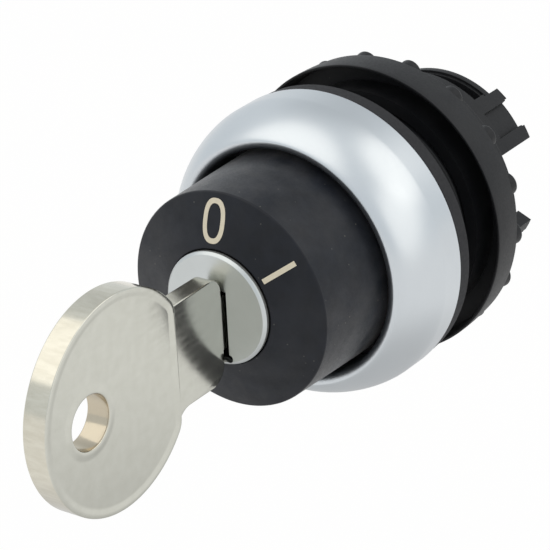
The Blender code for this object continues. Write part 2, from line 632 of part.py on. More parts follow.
def flat_piece(name, outlines, thickness, edge_round, parent):
    # Outlines are (forward, up) points in the key's plane; the first is the edge and the rest are holes
    curve = bpy.data.curves.new(name, 'CURVE')
    curve.dimensions = '2D'
    curve.fill_mode = 'BOTH'
    curve.bevel_depth = edge_round
    curve.bevel_resolution = 1
    curve.offset = -edge_round
    curve.extrude = thickness / 2 - edge_round
    for outline in outlines:
        spline = curve.splines.new('POLY')
        spline.points.add(len(outline) - 1)
        for point, (forward, up) in zip(spline.points, outline):
            point.co = (forward, up, 0.0, 1.0)
        spline.use_cyclic_u = True
    sheet = place(name, curve)
    mesh = applied(sheet)
    bpy.data.objects.remove(sheet, do_unlink=True)
    # The sheet's own X runs forward, so it is stood on edge in the upright plane of the axis
    mesh.transform(Matrix.Rotation(-math.pi / 2, 4, 'Y'))
    return place(name, mesh, parent=parent)


def blade_outline():
    top = [(KEY_SHOULDER, KEY_BLADE_TOP)]
    nose = (KEY_BLADE_TOP - KEY_BLADE_BOTTOM) / 3
    tip = [(KEY_TIP + nose, KEY_BLADE_TOP), (KEY_TIP, KEY_BLADE_TOP - nose),
           (KEY_TIP, KEY_BLADE_BOTTOM + nose), (KEY_TIP + nose, KEY_BLADE_BOTTOM)]
    bits = []
    for k in reversed(range(WAFER_COUNT)):
        height = WAFER_FIRST - k * WAFER_PITCH
        depth = KEY_BIT_DEPTHS[k % len(KEY_BIT_DEPTHS)]
        flank = min(depth, WAFER_PITCH / 2 - KEY_BIT_FLAT - GAP / 2)
        if height - KEY_BIT_FLAT - flank <= KEY_TIP + nose:
            continue
        low, high = height - KEY_BIT_FLAT, height + KEY_BIT_FLAT
        bits += [(low - flank, KEY_BLADE_BOTTOM), (low, KEY_BLADE_BOTTOM + depth),
                 (high, KEY_BLADE_BOTTOM + depth), (high + flank, KEY_BLADE_BOTTOM)]
    return top + tip + bits + [(KEY_SHOULDER, KEY_BLADE_BOTTOM)]


def make_key():
    key_axis = bpy.data.objects.new("key_axis", None)
    key_axis.parent = lock_axis
    parts.objects.link(key_axis)
    # The bow is a disc cut off straight where it steps down to the shank, with both corners rounded
    centre = (KEY_BOW_HEIGHT, KEY_BOW_DROP)
    chord = math.acos((KEY_BOW_FLAT - KEY_BOW_CORNER) / (KEY_BOW_R - KEY_BOW_CORNER))
    corner_rise = (KEY_BOW_R - KEY_BOW_CORNER) * math.sin(chord)
    corner_height = KEY_STEP_HEIGHT + KEY_BOW_CORNER
    rim = arc(centre, KEY_BOW_R, chord - math.pi, math.pi - chord, BOW_STEPS)[1:-1]
    rim += arc((corner_height, KEY_BOW_DROP + corner_rise), KEY_BOW_CORNER,
               math.pi - chord, math.pi, CORNER_STEPS)
    rim += arc((corner_height, KEY_BOW_DROP - corner_rise), KEY_BOW_CORNER,
               math.pi, math.pi + chord, CORNER_STEPS)
    ring_hole = (KEY_BOW_HEIGHT + KEY_HOLE_OFFSET, KEY_BOW_DROP)
    hole = arc(ring_hole, KEY_HOLE_R, 0.0, 2 * math.pi, RING_HOLE_STEPS)[:-1]
    bow = flat_piece("bow", [rim, hole], KEY_BOW_THICKNESS, KEY_BOW_ROUND, key_axis)
    # Shank and blade are one flat strip
    root = KEY_STEP_HEIGHT + KEY_BOW_ROUND + GAP
    shank = [(root, KEY_SHANK_TOP)]
    shank += arc((KEY_SHOULDER + KEY_TOP_ROUND, KEY_SHANK_TOP - KEY_TOP_ROUND), KEY_TOP_ROUND,
                 math.pi / 2, math.pi, CORNER_STEPS)
    shank += blade_outline()
    lower_corner = (KEY_SHOULDER + KEY_SHOULDER_ROUND, KEY_SHANK_BOTTOM + KEY_SHOULDER_ROUND)
    shank += arc(lower_corner, KEY_SHOULDER_ROUND, math.pi, 1.5 * math.pi, SHOULDER_STEPS)
    shank += [(root, KEY_SHANK_BOTTOM)]
    strip = flat_piece("strip", [shank], KEY_THICKNESS, 0.0, key_axis)
    key = place("key", strip.data.copy(), nickel, key_axis)
    bpy.data.objects.remove(strip, do_unlink=True)
    join_by(key, bow, 'UNION')
    return key


def tappet_angles():
    return (("right", 0.0), ("left", math.pi))


def ramp_height(angle, tappet):
    # Rear surface of a ramp: it sinks behind the disc as the angle grows past the tappet's foot
    return ROTOR_REAR - RAMP_START - LEAD * (angle - tappet + FOOT_HALF + RAMP_MARGIN)


def make_cam_rotor():
    rotor = turned("cam_rotor", [
        (0.0, ROTOR_HUB_FRONT), (ROTOR_HUB_R, ROTOR_HUB_FRONT), (ROTOR_HUB_R, ROTOR_FRONT),
        (ROTOR_R, ROTOR_FRONT), (ROTOR_R, ROTOR_REAR), (ROTOR_HUB_R, ROTOR_REAR),
        (ROTOR_HUB_R, ROTOR_HUB_REAR), (0.0, ROTOR_HUB_REAR)],
        white_plastic, lock_axis, SMALL_STEPS, closed=False)
    inside_disc = (ROTOR_FRONT + ROTOR_REAR) / 2
    for side, angle in tappet_angles():
        start = angle - FOOT_HALF - RAMP_MARGIN
        end = angle + TURN + FOOT_HALF + RAMP_MARGIN
        ramp = sector(f"ramp_{side}", RAMP_INNER_R, RAMP_OUTER_R, start, end,
                      lambda a, t=angle: ramp_height(a, t), inside_disc, parent=lock_axis)
        join_by(rotor, ramp, 'UNION')
    lug = sector("stop_lug", (ROTOR_HUB_R + ROTOR_R) / 2, STOP_LUG_R, STOP_LUG_ANGLE - STOP_LUG_HALF,
                 STOP_LUG_ANGLE + STOP_LUG_HALF, ROTOR_REAR + GAP, ROTOR_FRONT - GAP, parent=lock_axis)
    join_by(rotor, lug, 'UNION')
    half = TAIL_SIDE / 2 + GAP
    join_by(rotor, block("tail_hole", (-half, half), (-half, half),
                         (ROTOR_HUB_REAR - GAP, ROTOR_HUB_FRONT + GAP), parent=lock_axis))
    for i, turn in enumerate((0.0, TURN)):
        angle = DETENT_ANGLE + turn
        centre = (DETENT_RADIUS * math.cos(angle), DETENT_RADIUS * math.sin(angle),
                  ROTOR_REAR - DETENT_BALL_R - GAP + DETENT_DIMPLE)
        join_by(rotor, ball(f"dimple_{i}", DETENT_BALL_R + GAP, centre, parent=lock_axis))
    return rotor


def make_rotor_screw():
    screw = turned("rotor_screw", [
        (0.0, SCREW_SEAT + SCREW_SHANK), (SCREW_SHANK_R, SCREW_SEAT + SCREW_SHANK),
        (SCREW_SHANK_R, SCREW_SEAT), (SCREW_HEAD_R, SCREW_SEAT),
        (SCREW_HEAD_R, SCREW_SEAT - SCREW_HEAD), (0.0, SCREW_SEAT - SCREW_HEAD)],
        spring_steel, lock_axis, SCREW_STEPS, closed=False)
    slot = block("screw_slot", (-SCREW_HEAD_R - GAP, SCREW_HEAD_R + GAP), (-SCREW_SLOT / 2, SCREW_SLOT / 2),
                 (SCREW_SEAT - SCREW_HEAD - GAP, SCREW_SEAT - SCREW_HEAD / 2), parent=lock_axis)
    join_by(screw, slot)
    return screw


def make_tappets():
    for side, angle in tappet_angles():
        slide = bpy.data.objects.new(f"tappet_{side}_axis", None)
        slide.parent = switch_axis
        parts.objects.link(slide)
        tappet = sector(f"tappet_{side}", RAMP_INNER_R, RAMP_OUTER_R, angle - FOOT_HALF, angle + FOOT_HALF,
                        FOOT_REAR, lambda a, t=angle: ramp_height(a, t) - GAP, black_plastic, slide)
        way = math.cos(angle)
        x = sorted((way * STEM_INNER, way * STEM_OUTER))
        stem = block(f"stem_{side}", x, (-STEM_HALF_WIDTH, STEM_HALF_WIDTH), (STEM_TIP, FOOT_REAR + GAP),
                     parent=slide)
        join_by(tappet, stem, 'UNION')


def make_tappet_guide():
    guide = bar("tappet_guide", GUIDE_R, GUIDE_REAR, GUIDE_FRONT, material=black_plastic)
    at = (DETENT_RADIUS * math.cos(DETENT_ANGLE), DETENT_RADIUS * math.sin(DETENT_ANGLE))
    boss = bar("detent_boss", DETENT_BOSS_R, GUIDE_REAR + GUIDE_THICKNESS / 2, BALL_HEIGHT, at,
               steps=HOLE_STEPS)
    join_by(guide, boss, 'UNION')
    bore = bar("detent_bore", DETENT_BALL_R + GAP, GUIDE_REAR + DETENT_BORE_FLOOR, BALL_HEIGHT + GAP, at,
               steps=HOLE_STEPS)
    join_by(guide, bore)
    for side, angle in tappet_angles():
        way = math.cos(angle)
        x = sorted((way * (STEM_INNER - GAP), way * (STEM_OUTER + GAP)))
        reach = STEM_HALF_WIDTH + GAP
        join_by(guide, block(f"stem_hole_{side}", x, (-reach, reach), (GUIDE_REAR - GAP, GUIDE_FRONT + GAP)))
    return guide


def make_detent():
    at = (DETENT_RADIUS * math.cos(DETENT_ANGLE), DETENT_RADIUS * math.sin(DETENT_ANGLE))
    ball("detent_ball", DETENT_BALL_R, (*at, BALL_HEIGHT), spring_steel)
    top = BALL_HEIGHT - DETENT_BALL_R - GAP - DETENT_WIRE_R
    foot = GUIDE_REAR + DETENT_BORE_FLOOR + GAP + DETENT_WIRE_R
    coil_r = DETENT_BALL_R - DETENT_WIRE_R
    count = DETENT_SPRING_TURNS * COIL_STEPS
    wire = bpy.data.curves.new("detent_spring", 'CURVE')
    wire.dimensions = '3D'
    wire.bevel_depth = DETENT_WIRE_R
    wire.bevel_resolution = 1
    wire.use_fill_caps = True
    spline = wire.splines.new('POLY')
    spline.points.add(count)
    for i, point in enumerate(spline.points):
        angle = 2 * math.pi * i / COIL_STEPS
        height = foot + (top - foot) * i / count
        point.co = (at[0] + coil_r * math.cos(angle), at[1] + coil_r * math.sin(angle), height, 1.0)
    coil = place("spring_wire", wire)
    mesh = applied(coil)
    bpy.data.objects.remove(coil, do_unlink=True)
    place("detent_spring", mesh, spring_steel)
    print("detent spring, least gap between turns:", (top - foot) / DETENT_SPRING_TURNS - 2 * DETENT_WIRE_R)


make_actuator_body()
make_bezel_ring()
make_panel_gasket()
make_ring_nut()
make_lock_housing()
ring_seal("housing_seal", HOUSING_SEAL_R, HOUSING_SECTION_R, FLANGE_FRONT - HOUSING_SECTION_R)
make_lock_barrel()
ring_seal("plug_seal", PLUG_HEAD_R + GAP + PLUG_SECTION_R, PLUG_SECTION_R,
          BARREL_FRONT + GAP + PLUG_SECTION_R)
make_lock_plug()
make_wafers()
make_plug_circlip()
make_key()
make_cam_rotor()
make_rotor_screw()
make_tappets()
make_tappet_guide()
make_detent()

for piece in parts.objects:
    if piece.type == 'MESH':
        piece.data.shade_smooth()
        piece.data.set_sharp_from_angle(angle=SHARP_ANGLE)
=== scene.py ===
# Dresses the key-operated selector switch: fine shapes, finishes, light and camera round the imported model.
# Sizes in the dictionaries are millimetres and degrees. The switch faces -Y, so forward is minus Y, heights
# are forward of the panel, and angles on the front run clockwise from the top.
import math

import bmesh
import bpy
from mathutils import Matrix, Vector


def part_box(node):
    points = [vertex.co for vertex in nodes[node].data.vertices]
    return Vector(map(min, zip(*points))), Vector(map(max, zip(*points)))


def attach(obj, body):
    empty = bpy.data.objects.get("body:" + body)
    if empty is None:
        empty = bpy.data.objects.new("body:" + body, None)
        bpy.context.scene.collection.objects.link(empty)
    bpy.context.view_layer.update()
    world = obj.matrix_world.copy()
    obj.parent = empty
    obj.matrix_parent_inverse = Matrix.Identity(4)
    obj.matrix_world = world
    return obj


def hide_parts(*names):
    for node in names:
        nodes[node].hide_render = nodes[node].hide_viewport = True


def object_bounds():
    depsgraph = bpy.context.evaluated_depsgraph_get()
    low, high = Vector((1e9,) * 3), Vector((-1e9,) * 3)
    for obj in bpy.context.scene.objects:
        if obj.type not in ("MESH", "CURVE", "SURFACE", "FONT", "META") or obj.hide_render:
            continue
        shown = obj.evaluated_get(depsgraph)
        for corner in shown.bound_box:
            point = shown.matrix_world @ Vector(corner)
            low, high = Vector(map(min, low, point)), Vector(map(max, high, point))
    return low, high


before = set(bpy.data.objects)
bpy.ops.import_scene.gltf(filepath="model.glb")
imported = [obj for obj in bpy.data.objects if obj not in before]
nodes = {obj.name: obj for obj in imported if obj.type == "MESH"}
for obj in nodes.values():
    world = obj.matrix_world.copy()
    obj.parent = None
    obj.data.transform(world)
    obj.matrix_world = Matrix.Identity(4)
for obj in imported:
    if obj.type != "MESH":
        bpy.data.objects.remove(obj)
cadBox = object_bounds()
scene = bpy.context.scene
mm = 0.001
weld = 1e-7  # points closer than this, in metres, become one
noiseSpan = (0.3, 0.7)  # where most of a noise texture's values lie
print("frame loaded:", len(nodes), "nodes")


# Small tools

def fromHex(code):
    # sRGB hex to the linear values that shaders take
    channels = [int(code[i:i + 2], 16) / 255 for i in (1, 3, 5)]
    return (*[c / 12.92 if c <= 0.04045 else ((c + 0.055) / 1.055) ** 2.4 for c in channels], 1.0)


def perMm(size):
    # Texture scale that gives a pattern of this size in millimetres
    return 1 / (size * mm)


def addNode(tree, kind, inputs=(), **settings):
    # Adds a node and gives its outputs; an input is either a value or the socket that feeds it
    node = tree.nodes.new(kind)
    for name, value in settings.items():
        setattr(node, name, value)
    for socket, value in dict(inputs).items():
        if isinstance(value, bpy.types.NodeSocket):
            tree.links.new(value, node.inputs[socket])
        else:
            node.inputs[socket].default_value = value
    return node.outputs


def frontOf(node):
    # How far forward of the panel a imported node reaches
    return -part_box(node)[0].y / mm


def rearOf(node):
    return -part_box(node)[1].y / mm


def radiusOf(node):
    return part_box(node)[1].x / mm


def reachesOf(node):
    return radiusOf(node), frontOf(node), rearOf(node)


def at(radius, angle, height):
    # A point from its radius, its angle clockwise from the top and its height
    turn = math.radians(angle)
    return Vector((radius * math.sin(turn), -height, radius * math.cos(turn))) * mm


def linked(name, data):
    obj = bpy.data.objects.new(name, data)
    scene.collection.objects.link(obj)
    return obj


def plainMesh(obj):
    # What the object's modifiers make of it, as a plain mesh; the object itself goes
    bpy.context.view_layer.update()
    mesh = bpy.data.meshes.new_from_object(obj.evaluated_get(bpy.context.evaluated_depsgraph_get()))
    bpy.data.objects.remove(obj, do_unlink=True)
    return mesh


def meshFrom(name, bm):
    bmesh.ops.remove_doubles(bm, verts=bm.verts, dist=weld)
    bmesh.ops.recalc_face_normals(bm, faces=bm.faces)
    mesh = bpy.data.meshes.new(name)
    bm.to_mesh(mesh)
    bm.free()
    return mesh


def bridge(bm, rings, ends):
    # Joins each ring of points to the next by faces; the two ends are joined, capped or left open
    for this, following in zip(rings, rings[1:] + rings[:1] if ends == "joined" else rings[1:]):
        for j in range(len(this)):
            n = (j + 1) % len(this)
            # On the axis a face would have no width
            if this[j].co != following[j].co or this[n].co != following[n].co:
                bm.faces.new((this[j], this[n], following[n], following[j]))
    if ends == "capped":
        bm.faces.new(rings[0])
        bm.faces.new(rings[-1])


def softCorners(corners, segments=5):
    # Corners are (radius, height, fillet); every fillet becomes an arc
    points = []
    for i, (radius, height, fillet) in enumerate(corners):
        here = Vector((radius, height))
        if fillet == 0:
            points.append(here)
            continue
        back = (Vector(corners[i - 1][:2]) - here).normalized()
        ahead = (Vector(corners[(i + 1) % len(corners)][:2]) - here).normalized()
        half = back.angle(ahead) / 2
        centre = here + (back + ahead).normalized() * fillet / math.sin(half)
        start = here + back * fillet / math.tan(half) - centre
        end = here + ahead * fillet / math.tan(half) - centre
        sweep = start.angle(end)
        for k in range(segments + 1):
            share = k / segments
            points.append(centre + (start * math.sin((1 - share) * sweep) + end * math.sin(share * sweep))
                          / math.sin(sweep))
    return points


def turnedMesh(name, outline, steps=160, shares=()):
    # Turns a closed (radius, height) outline round the axis; shares are kept on its points for a later rule
    bm = bmesh.new()
    layer = bm.verts.layers.float.new("share")
    rings = [[bm.verts.new(at(r, 360 * k / steps, u)) for r, u in outline] for k in range(steps)]
    for ring in rings:
        for point, share in zip(ring, shares):
            point[layer] = share
    bridge(bm, rings, "joined")
    return meshFrom(name, bm)


def flatSolid(name, outline, thickness, edge, edgeRings=5):
    # A flat blank with rounded edges, upright on the axis, from an outline of (height, up) points
    curve = bpy.data.curves.new(name, "CURVE")
    curve.dimensions = "2D"
    curve.fill_mode = "BOTH"
    curve.bevel_depth = edge * mm
    curve.bevel_resolution = edgeRings
    curve.offset = -edge * mm
    curve.extrude = (thickness / 2 - edge) * mm
    spline = curve.splines.new("POLY")
    spline.points.add(len(outline) - 1)
    for point, (height, up) in zip(spline.points, outline):
        point.co = (height * mm, up * mm, 0.0, 1.0)
    spline.use_cyclic_u = True
    bm = bmesh.new()
    bm.from_mesh(plainMesh(linked(name, curve)))
    upright = Matrix(((0, 0, -1, 0), (-1, 0, 0, 0), (0, 1, 0, 0), (0, 0, 0, 1)))
    bmesh.ops.transform(bm, matrix=upright, verts=bm.verts)
    return meshFrom(name, bm)


def arcPoints(centre, radius, start, end, count):
    # Points on an arc in the (height, up) plane, degrees from forward towards up
    turns = [math.radians(start + (end - start) * k / count) for k in range(count + 1)]
    return [(centre[0] + radius * math.cos(t), centre[1] + radius * math.sin(t)) for t in turns]


def sectorMesh(name, radii, angles, heights, step=2.0):
    # A block bent round the axis; each argument is a (low, high) pair
    count = max(1, round((angles[1] - angles[0]) / step))
    bm = bmesh.new()
    corners = [(radii[0], heights[0]), (radii[1], heights[0]), (radii[1], heights[1]), (radii[0], heights[1])]
    rings = [[bm.verts.new(at(r, angles[0] + (angles[1] - angles[0]) * k / count, u)) for r, u in corners]
             for k in range(count + 1)]
    bridge(bm, rings, "capped")
    return meshFrom(name, bm)


def boxMesh(name, across, heights, up):
    # A box from (low, high) pairs
    bm = bmesh.new()
    bmesh.ops.create_cube(bm, size=1.0)
    spans = [across, (-heights[1], -heights[0]), up]
    middle = Vector([(low + high) / 2 for low, high in spans]) * mm
    size = [(high - low) * mm for low, high in spans]
    bmesh.ops.transform(bm, matrix=Matrix.Translation(middle) @ Matrix.Diagonal((*size, 1.0)), verts=bm.verts)
    return meshFrom(name, bm)


def combined(mesh, tools, operation="DIFFERENCE"):
    # Cuts the tools out of a mesh, or joins them to it, one after the other
    blank = linked("blank", mesh)
    helpers = [linked("tool", tool) for tool in tools]
    for helper in helpers:
        step = blank.modifiers.new("step", "BOOLEAN")
        step.operation = operation
        step.solver = "EXACT"
        step.object = helper
    result = plainMesh(blank)
    for helper in helpers:
        bpy.data.objects.remove(helper, do_unlink=True)
    return result


def softened(mesh, width, segments=2, angle=35.0):
    # Breaks the sharp edges of a mesh by a small bevel
    blank = linked("blank", mesh)
    bevel = blank.modifiers.new("edges", "BEVEL")
    bevel.width = width * mm
    bevel.segments = segments
    bevel.limit_method = "ANGLE"
    bevel.angle_limit = math.radians(angle)
    return plainMesh(blank)


def solidOf(node):
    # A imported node's solid with its loose triangles joined and its flat faces made whole
    bm = bmesh.new()
    bm.from_mesh(nodes[node].data)
    bmesh.ops.remove_doubles(bm, verts=bm.verts, dist=weld)
    bmesh.ops.dissolve_limit(bm, angle_limit=math.radians(1.0), verts=bm.verts, edges=bm.edges)
    return meshFrom(node + "Copy", bm)


def startTree(name, labels):
    # A Geometry Nodes tree with one number input for each label
    tree = bpy.data.node_groups.new(name, "GeometryNodeTree")
    tree.interface.new_socket("Geometry", in_out="INPUT", socket_type="NodeSocketGeometry")
    for label in labels:
        tree.interface.new_socket(label, in_out="INPUT", socket_type="NodeSocketFloat")
    tree.interface.new_socket("Geometry", in_out="OUTPUT", socket_type="NodeSocketGeometry")
    return tree, addNode(tree, "NodeGroupInput")


def endTree(tree, geometry, material):
    solid = addNode(tree, "GeometryNodeRealizeInstances", {0: geometry})
    painted = addNode(tree, "GeometryNodeSetMaterial", {"Geometry": solid[0], "Material": material})
    addNode(tree, "NodeGroupOutput", {0: painted[0]})
    return tree


def grown(mesh, tree, settings):
    # Runs a tree on a mesh; settings go by the names of the tree's inputs
    blank = linked("blank", mesh)
    rule = blank.modifiers.new("rule", "NODES")
    rule.node_group = tree
    for item in tree.interface.items_tree:
        if item.in_out == "INPUT" and item.name in settings:
            rule[item.identifier] = settings[item.name]
    return plainMesh(blank)


def roundAxis(tree):
    # Every point's place, its angle round the axis and how far along the axis it lies
    place = addNode(tree, "GeometryNodeInputPosition")[0]
    axes = addNode(tree, "ShaderNodeSeparateXYZ", {0: place})
    around = addNode(tree, "ShaderNodeMath", {0: axes[0], 1: axes[2]}, operation="ARCTAN2")[0]
    return place, around, axes[1]


def pushedOut(tree, given, place, amount):
    # Moves every point away from the axis by the amount times the point's own share
    share = addNode(tree, "GeometryNodeInputNamedAttribute", {"Name": "share"}, data_type="FLOAT")[0]
    flat = addNode(tree, "ShaderNodeVectorMath", {0: place, 1: (1.0, 0.0, 1.0)}, operation="MULTIPLY")[0]
    outward = addNode(tree, "ShaderNodeVectorMath", {0: flat}, operation="NORMALIZE")[0]
    reach = addNode(tree, "ShaderNodeMath", {0: amount, 1: share}, operation="MULTIPLY")[0]
    push = addNode(tree, "ShaderNodeVectorMath", {0: outward, "Scale": reach}, operation="SCALE")[0]
    return addNode(tree, "GeometryNodeSetPosition", {"Geometry": given["Geometry"], "Offset": push})[0]


def addPiece(name, mesh, material, body, replaced, sharp=32.0):
    mesh.materials.clear()
    mesh.materials.append(material)
    mesh.shade_smooth()
    mesh.set_sharp_from_angle(angle=math.radians(sharp))
    blank = linked("blank", mesh)
    even = blank.modifiers.new("even", "WEIGHTED_NORMAL")  # flat faces stay flat beside rounded edges
    even.keep_sharp = True
    obj = linked(name, plainMesh(blank))
    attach(obj, body)
    if replaced:
        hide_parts(*replaced)
    return obj


# Materials

def makeFinish(name, look):
    # Two close tones in patches, and a grain that carries the roughness and a little relief
    material = bpy.data.materials.new(name)
    material.use_nodes = True
    tree = material.node_tree
    tree.nodes.clear()
    place = addNode(tree, "ShaderNodeTexCoord")["Object"]
    patch = addNode(tree, "ShaderNodeTexNoise", {"Vector": place, "Scale": perMm(look["patch"]), "Detail": 4.0})
    tint = addNode(tree, "ShaderNodeMix", {0: patch[0], 6: fromHex(look["colour"]), 7: fromHex(look["shade"])},
                   data_type="RGBA")
    drawn = addNode(tree, "ShaderNodeMapping", {"Vector": place, "Scale": look.get("stretch", (1.0, 1.0, 1.0))})
    grain = addNode(tree, "ShaderNodeTexNoise", {
        "Vector": drawn[0], "Scale": perMm(look["grain"]), "Detail": 3.0})[0]
    low, high = look["roughness"]
    gloss = addNode(tree, "ShaderNodeMapRange", {
        "Value": grain, "From Min": noiseSpan[0], "From Max": noiseSpan[1], "To Min": low, "To Max": high})
    bump = addNode(tree, "ShaderNodeBump", {"Height": grain, "Strength": look["relief"], "Distance": 0.02 * mm})
    shader = addNode(tree, "ShaderNodeBsdfPrincipled", {
        "Base Color": tint[2], "Roughness": gloss[0], "Normal": bump[0],
        "Metallic": look.get("metallic", 0.0), "Specular IOR Level": look.get("specular", 0.5)})[0].node
    addNode(tree, "ShaderNodeOutputMaterial", {"Surface": shader.outputs[0]})
    return material, tree, shader, place


def overlay(tree, shader, share, colour):
    # Lays a colour over what the finish shows so far, as strongly as the share says
    below = shader.inputs["Base Color"].links[0].from_socket
    mixed = addNode(tree, "ShaderNodeMix", {0: share, 6: below, 7: colour}, data_type="RGBA")
    tree.links.new(mixed[2], shader.inputs["Base Color"])


def makeDusted(name, look):
    # A moulded finish with pale specks and a film of dust
    material, tree, shader, place = makeFinish(name, look)
    cells = addNode(tree, "ShaderNodeTexVoronoi", {"Vector": place, "Scale": perMm(look["speckSpacing"])})
    specks = addNode(tree, "ShaderNodeMapRange", {
        "Value": cells["Distance"], "From Min": look["speckRadius"] / look["speckSpacing"], "From Max": 0.0,
        "To Max": look["speckStrength"]})
    overlay(tree, shader, specks[0], fromHex(look["speck"]))
    # A film of finer dust lies in clouds and shows as a haze
    cloud = addNode(tree, "ShaderNodeTexNoise", {
        "Vector": place, "Scale": perMm(look["cloud"]), "Detail": 6.0, "Roughness": 0.65})
    thin, thick = look["film"]
    film = addNode(tree, "ShaderNodeMapRange", {
        "Value": cloud[0], "From Min": noiseSpan[0], "From Max": noiseSpan[1], "To Min": thin, "To Max": thick})
    tree.links.new(film[0], shader.inputs["Sheen Weight"])
    return material


# Glass-filled polyamide from a spark-eroded mould: matte and near black
blackNylon = makeDusted("blackNylon", {
    "colour": "#0B0D12", "shade": "#07090C", "patch": 4.0, "grain": 0.2, "roughness": (0.46, 0.56), "relief": 0.12,
    "specular": 0.34, "cloud": 3.0, "film": (0.0, 0.05), "speck": "#6A6A66", "speckSpacing": 1.7, "speckRadius": 0.06,
    "speckStrength": 0.6})
# The same polyamide from a finer mould: a soft bluish sheen, cloudy from handling
housingNylon = makeDusted("housingNylon", {
    "colour": "#1A1F29", "shade": "#0A0C11", "patch": 2.0, "grain": 0.2, "roughness": (0.34, 0.46), "relief": 0.1,
    "specular": 0.25, "cloud": 3.0, "film": (0.0, 0.19), "speck": "#77776F", "speckSpacing": 1.2, "speckRadius": 0.1,
    "speckStrength": 0.6})
# Satin chrome plate on moulded ABS: broad soft highlights, a cool tint, and a pearl grain. The real grain is about
# 0.05 mm and is drawn four times as coarse so that it shows.
satinChrome = makeFinish("satinChromePlate", {
    "colour": "#D1D6D9", "shade": "#C9CED2", "patch": 5.0, "grain": 0.22, "roughness": (0.29, 0.36), "relief": 0.03,
    "metallic": 1.0})[0]
# Nitrile rubber, compression moulded: dull dark grey with a slightly chalky, uneven bloom
gasketRubber = makeFinish("gasketRubber", {
    "colour": "#27282B", "shade": "#2F3033", "patch": 2.5, "grain": 0.3, "roughness": (0.62, 0.8), "relief": 0.15,
    "specular": 0.25})[0]
# Natural acetal, moulded: milky white and waxy, with faint flow marks
whiteAcetal = makeFinish("whiteAcetal", {
    "colour": "#E4E1D6", "shade": "#D9D6CA", "patch": 1.5, "grain": 0.4, "roughness": (0.32, 0.44), "relief": 0.04})[0]
# Pad-printed two-part ink: opaque cream with a fine mottle from the pad
creamInk = makeFinish("creamInk", {
    "colour": "#DCD5C1", "shade": "#CFC8B4", "patch": 0.35, "grain": 0.2, "roughness": (0.5, 0.65), "relief": 0.05})[0]
# Half-hard brass, stamped from strip: yellow with rolling lines
waferBrass = makeFinish("stampedBrass", {
    "colour": "#C2A15C", "shade": "#B08F4E", "patch": 1.5, "grain": 0.12, "stretch": (1.0, 1.0, 0.1),
    "roughness": (0.28, 0.40), "relief": 0.06, "metallic": 1.0})[0]
# Zinc pressure casting, as cast: dull grey with a faint orange peel
castZinc = makeFinish("castZinc", {
    "colour": "#A3A5A6", "shade": "#929496", "patch": 2.0, "grain": 0.35, "roughness": (0.42, 0.58), "relief": 0.15,
    "metallic": 1.0})[0]
# Drawn spring wire and turned steel: bright grey with lengthways draw lines
springSteel = makeFinish("drawnSteel", {
    "colour": "#ADADAA", "shade": "#9B9B99", "patch": 1.0, "grain": 0.08, "stretch": (1.0, 0.15, 1.0),
    "roughness": (0.24, 0.36), "relief": 0.05, "metallic": 1.0})[0]
print("shared materials made:", len(bpy.data.materials))


# Front ring

bezel = {"crestInset": 2.55, "lip": 0.83, "lipDrop": 0.7, "lipPoints": 10, "rim": 2.6, "domePower": 1.55,
         "domePoints": 44, "wall": 0.9, "skirtEnd": 4.3, "foldAt": 0.6, "edge": 0.18, "steps": 240}


def makeBezelRing():
    s = bezel
    outer, crest, rear = reachesOf("bezel_ring")
    crestRadius, foot = outer - s["crestInset"], rear + s["rim"]
    mouth = crestRadius - s["lip"]
    outline = [(mouth, s["skirtEnd"])]
    for k in range(s["lipPoints"]):
        turn = math.pi / 2 * k / s["lipPoints"]
        outline.append((crestRadius - s["lip"] * math.cos(turn), crest - s["lipDrop"] * (1 - math.sin(turn))))
    # The dome is a quarter of a superellipse from the crest down to the straight rim
    for k in range(s["domePoints"] + 1):
        turn = math.pi / 2 * (1 - k / s["domePoints"])
        out = abs(math.cos(turn)) ** (2 / s["domePower"])
        rise = abs(math.sin(turn)) ** (2 / s["domePower"])
        outline.append((crestRadius + s["crestInset"] * out, foot + (crest - foot) * rise))
    fold, skirt, inside = foot + (crest - foot) * s["foldAt"], mouth + s["wall"], outer - s["wall"]
    outline += softCorners([
        (outer, foot - s["edge"], 0), (outer, rear, s["edge"]), (inside, rear, s["edge"]), (inside, foot, 0)])
    outline += [(skirt + s["edge"], fold), (skirt, fold), (skirt, s["skirtEnd"])]
    mesh = turnedMesh("bezelRing", outline, s["steps"])
    return addPiece("bezelRing", mesh, satinChrome, "switch_body", ["bezel_ring"])


# Panel gasket

gasket = {"bore": 11.2, "edge": 0.12, "squeeze": 0.15, "proud": 0.4, "notchWidth": 3.6, "notchTop": 13.1}


def makePanelGasket():
    s = gasket
    outer, front, rear = reachesOf("panel_gasket")
    front += s["squeeze"]  # rubber swells into the joint below the ring
    rear -= s["proud"]  # and stands proud of the panel's plane until it is clamped
    outline = softCorners([
        (outer, front, s["edge"]), (outer, rear, s["edge"]), (s["bore"], rear, 0), (s["bore"], front, 0)])
    half = s["notchWidth"] / 2
    notch = boxMesh("notch", (-half, half), (rear - 1, front + 1), (s["bore"] - 2, s["notchTop"]))
    mesh = combined(turnedMesh("panelGasket", outline), [notch])
    return addPiece("panelGasket", mesh, gasketRubber, "switch_body", ["panel_gasket"])


# Lock housing and its printed marks

housing = {"hole": 5.67, "frontRadius": 10.75, "edgeHeight": 17.8, "edge": 0.25, "holeEdge": 0.12, "seat": 4.3,
           "tailRadius": 8.6, "bore": 7.7, "frontWall": 2.5, "snapTop": 1.2, "snapLip": 0.4, "slit": 1.6,
           "slitDepth": 2.8, "steps": 240}
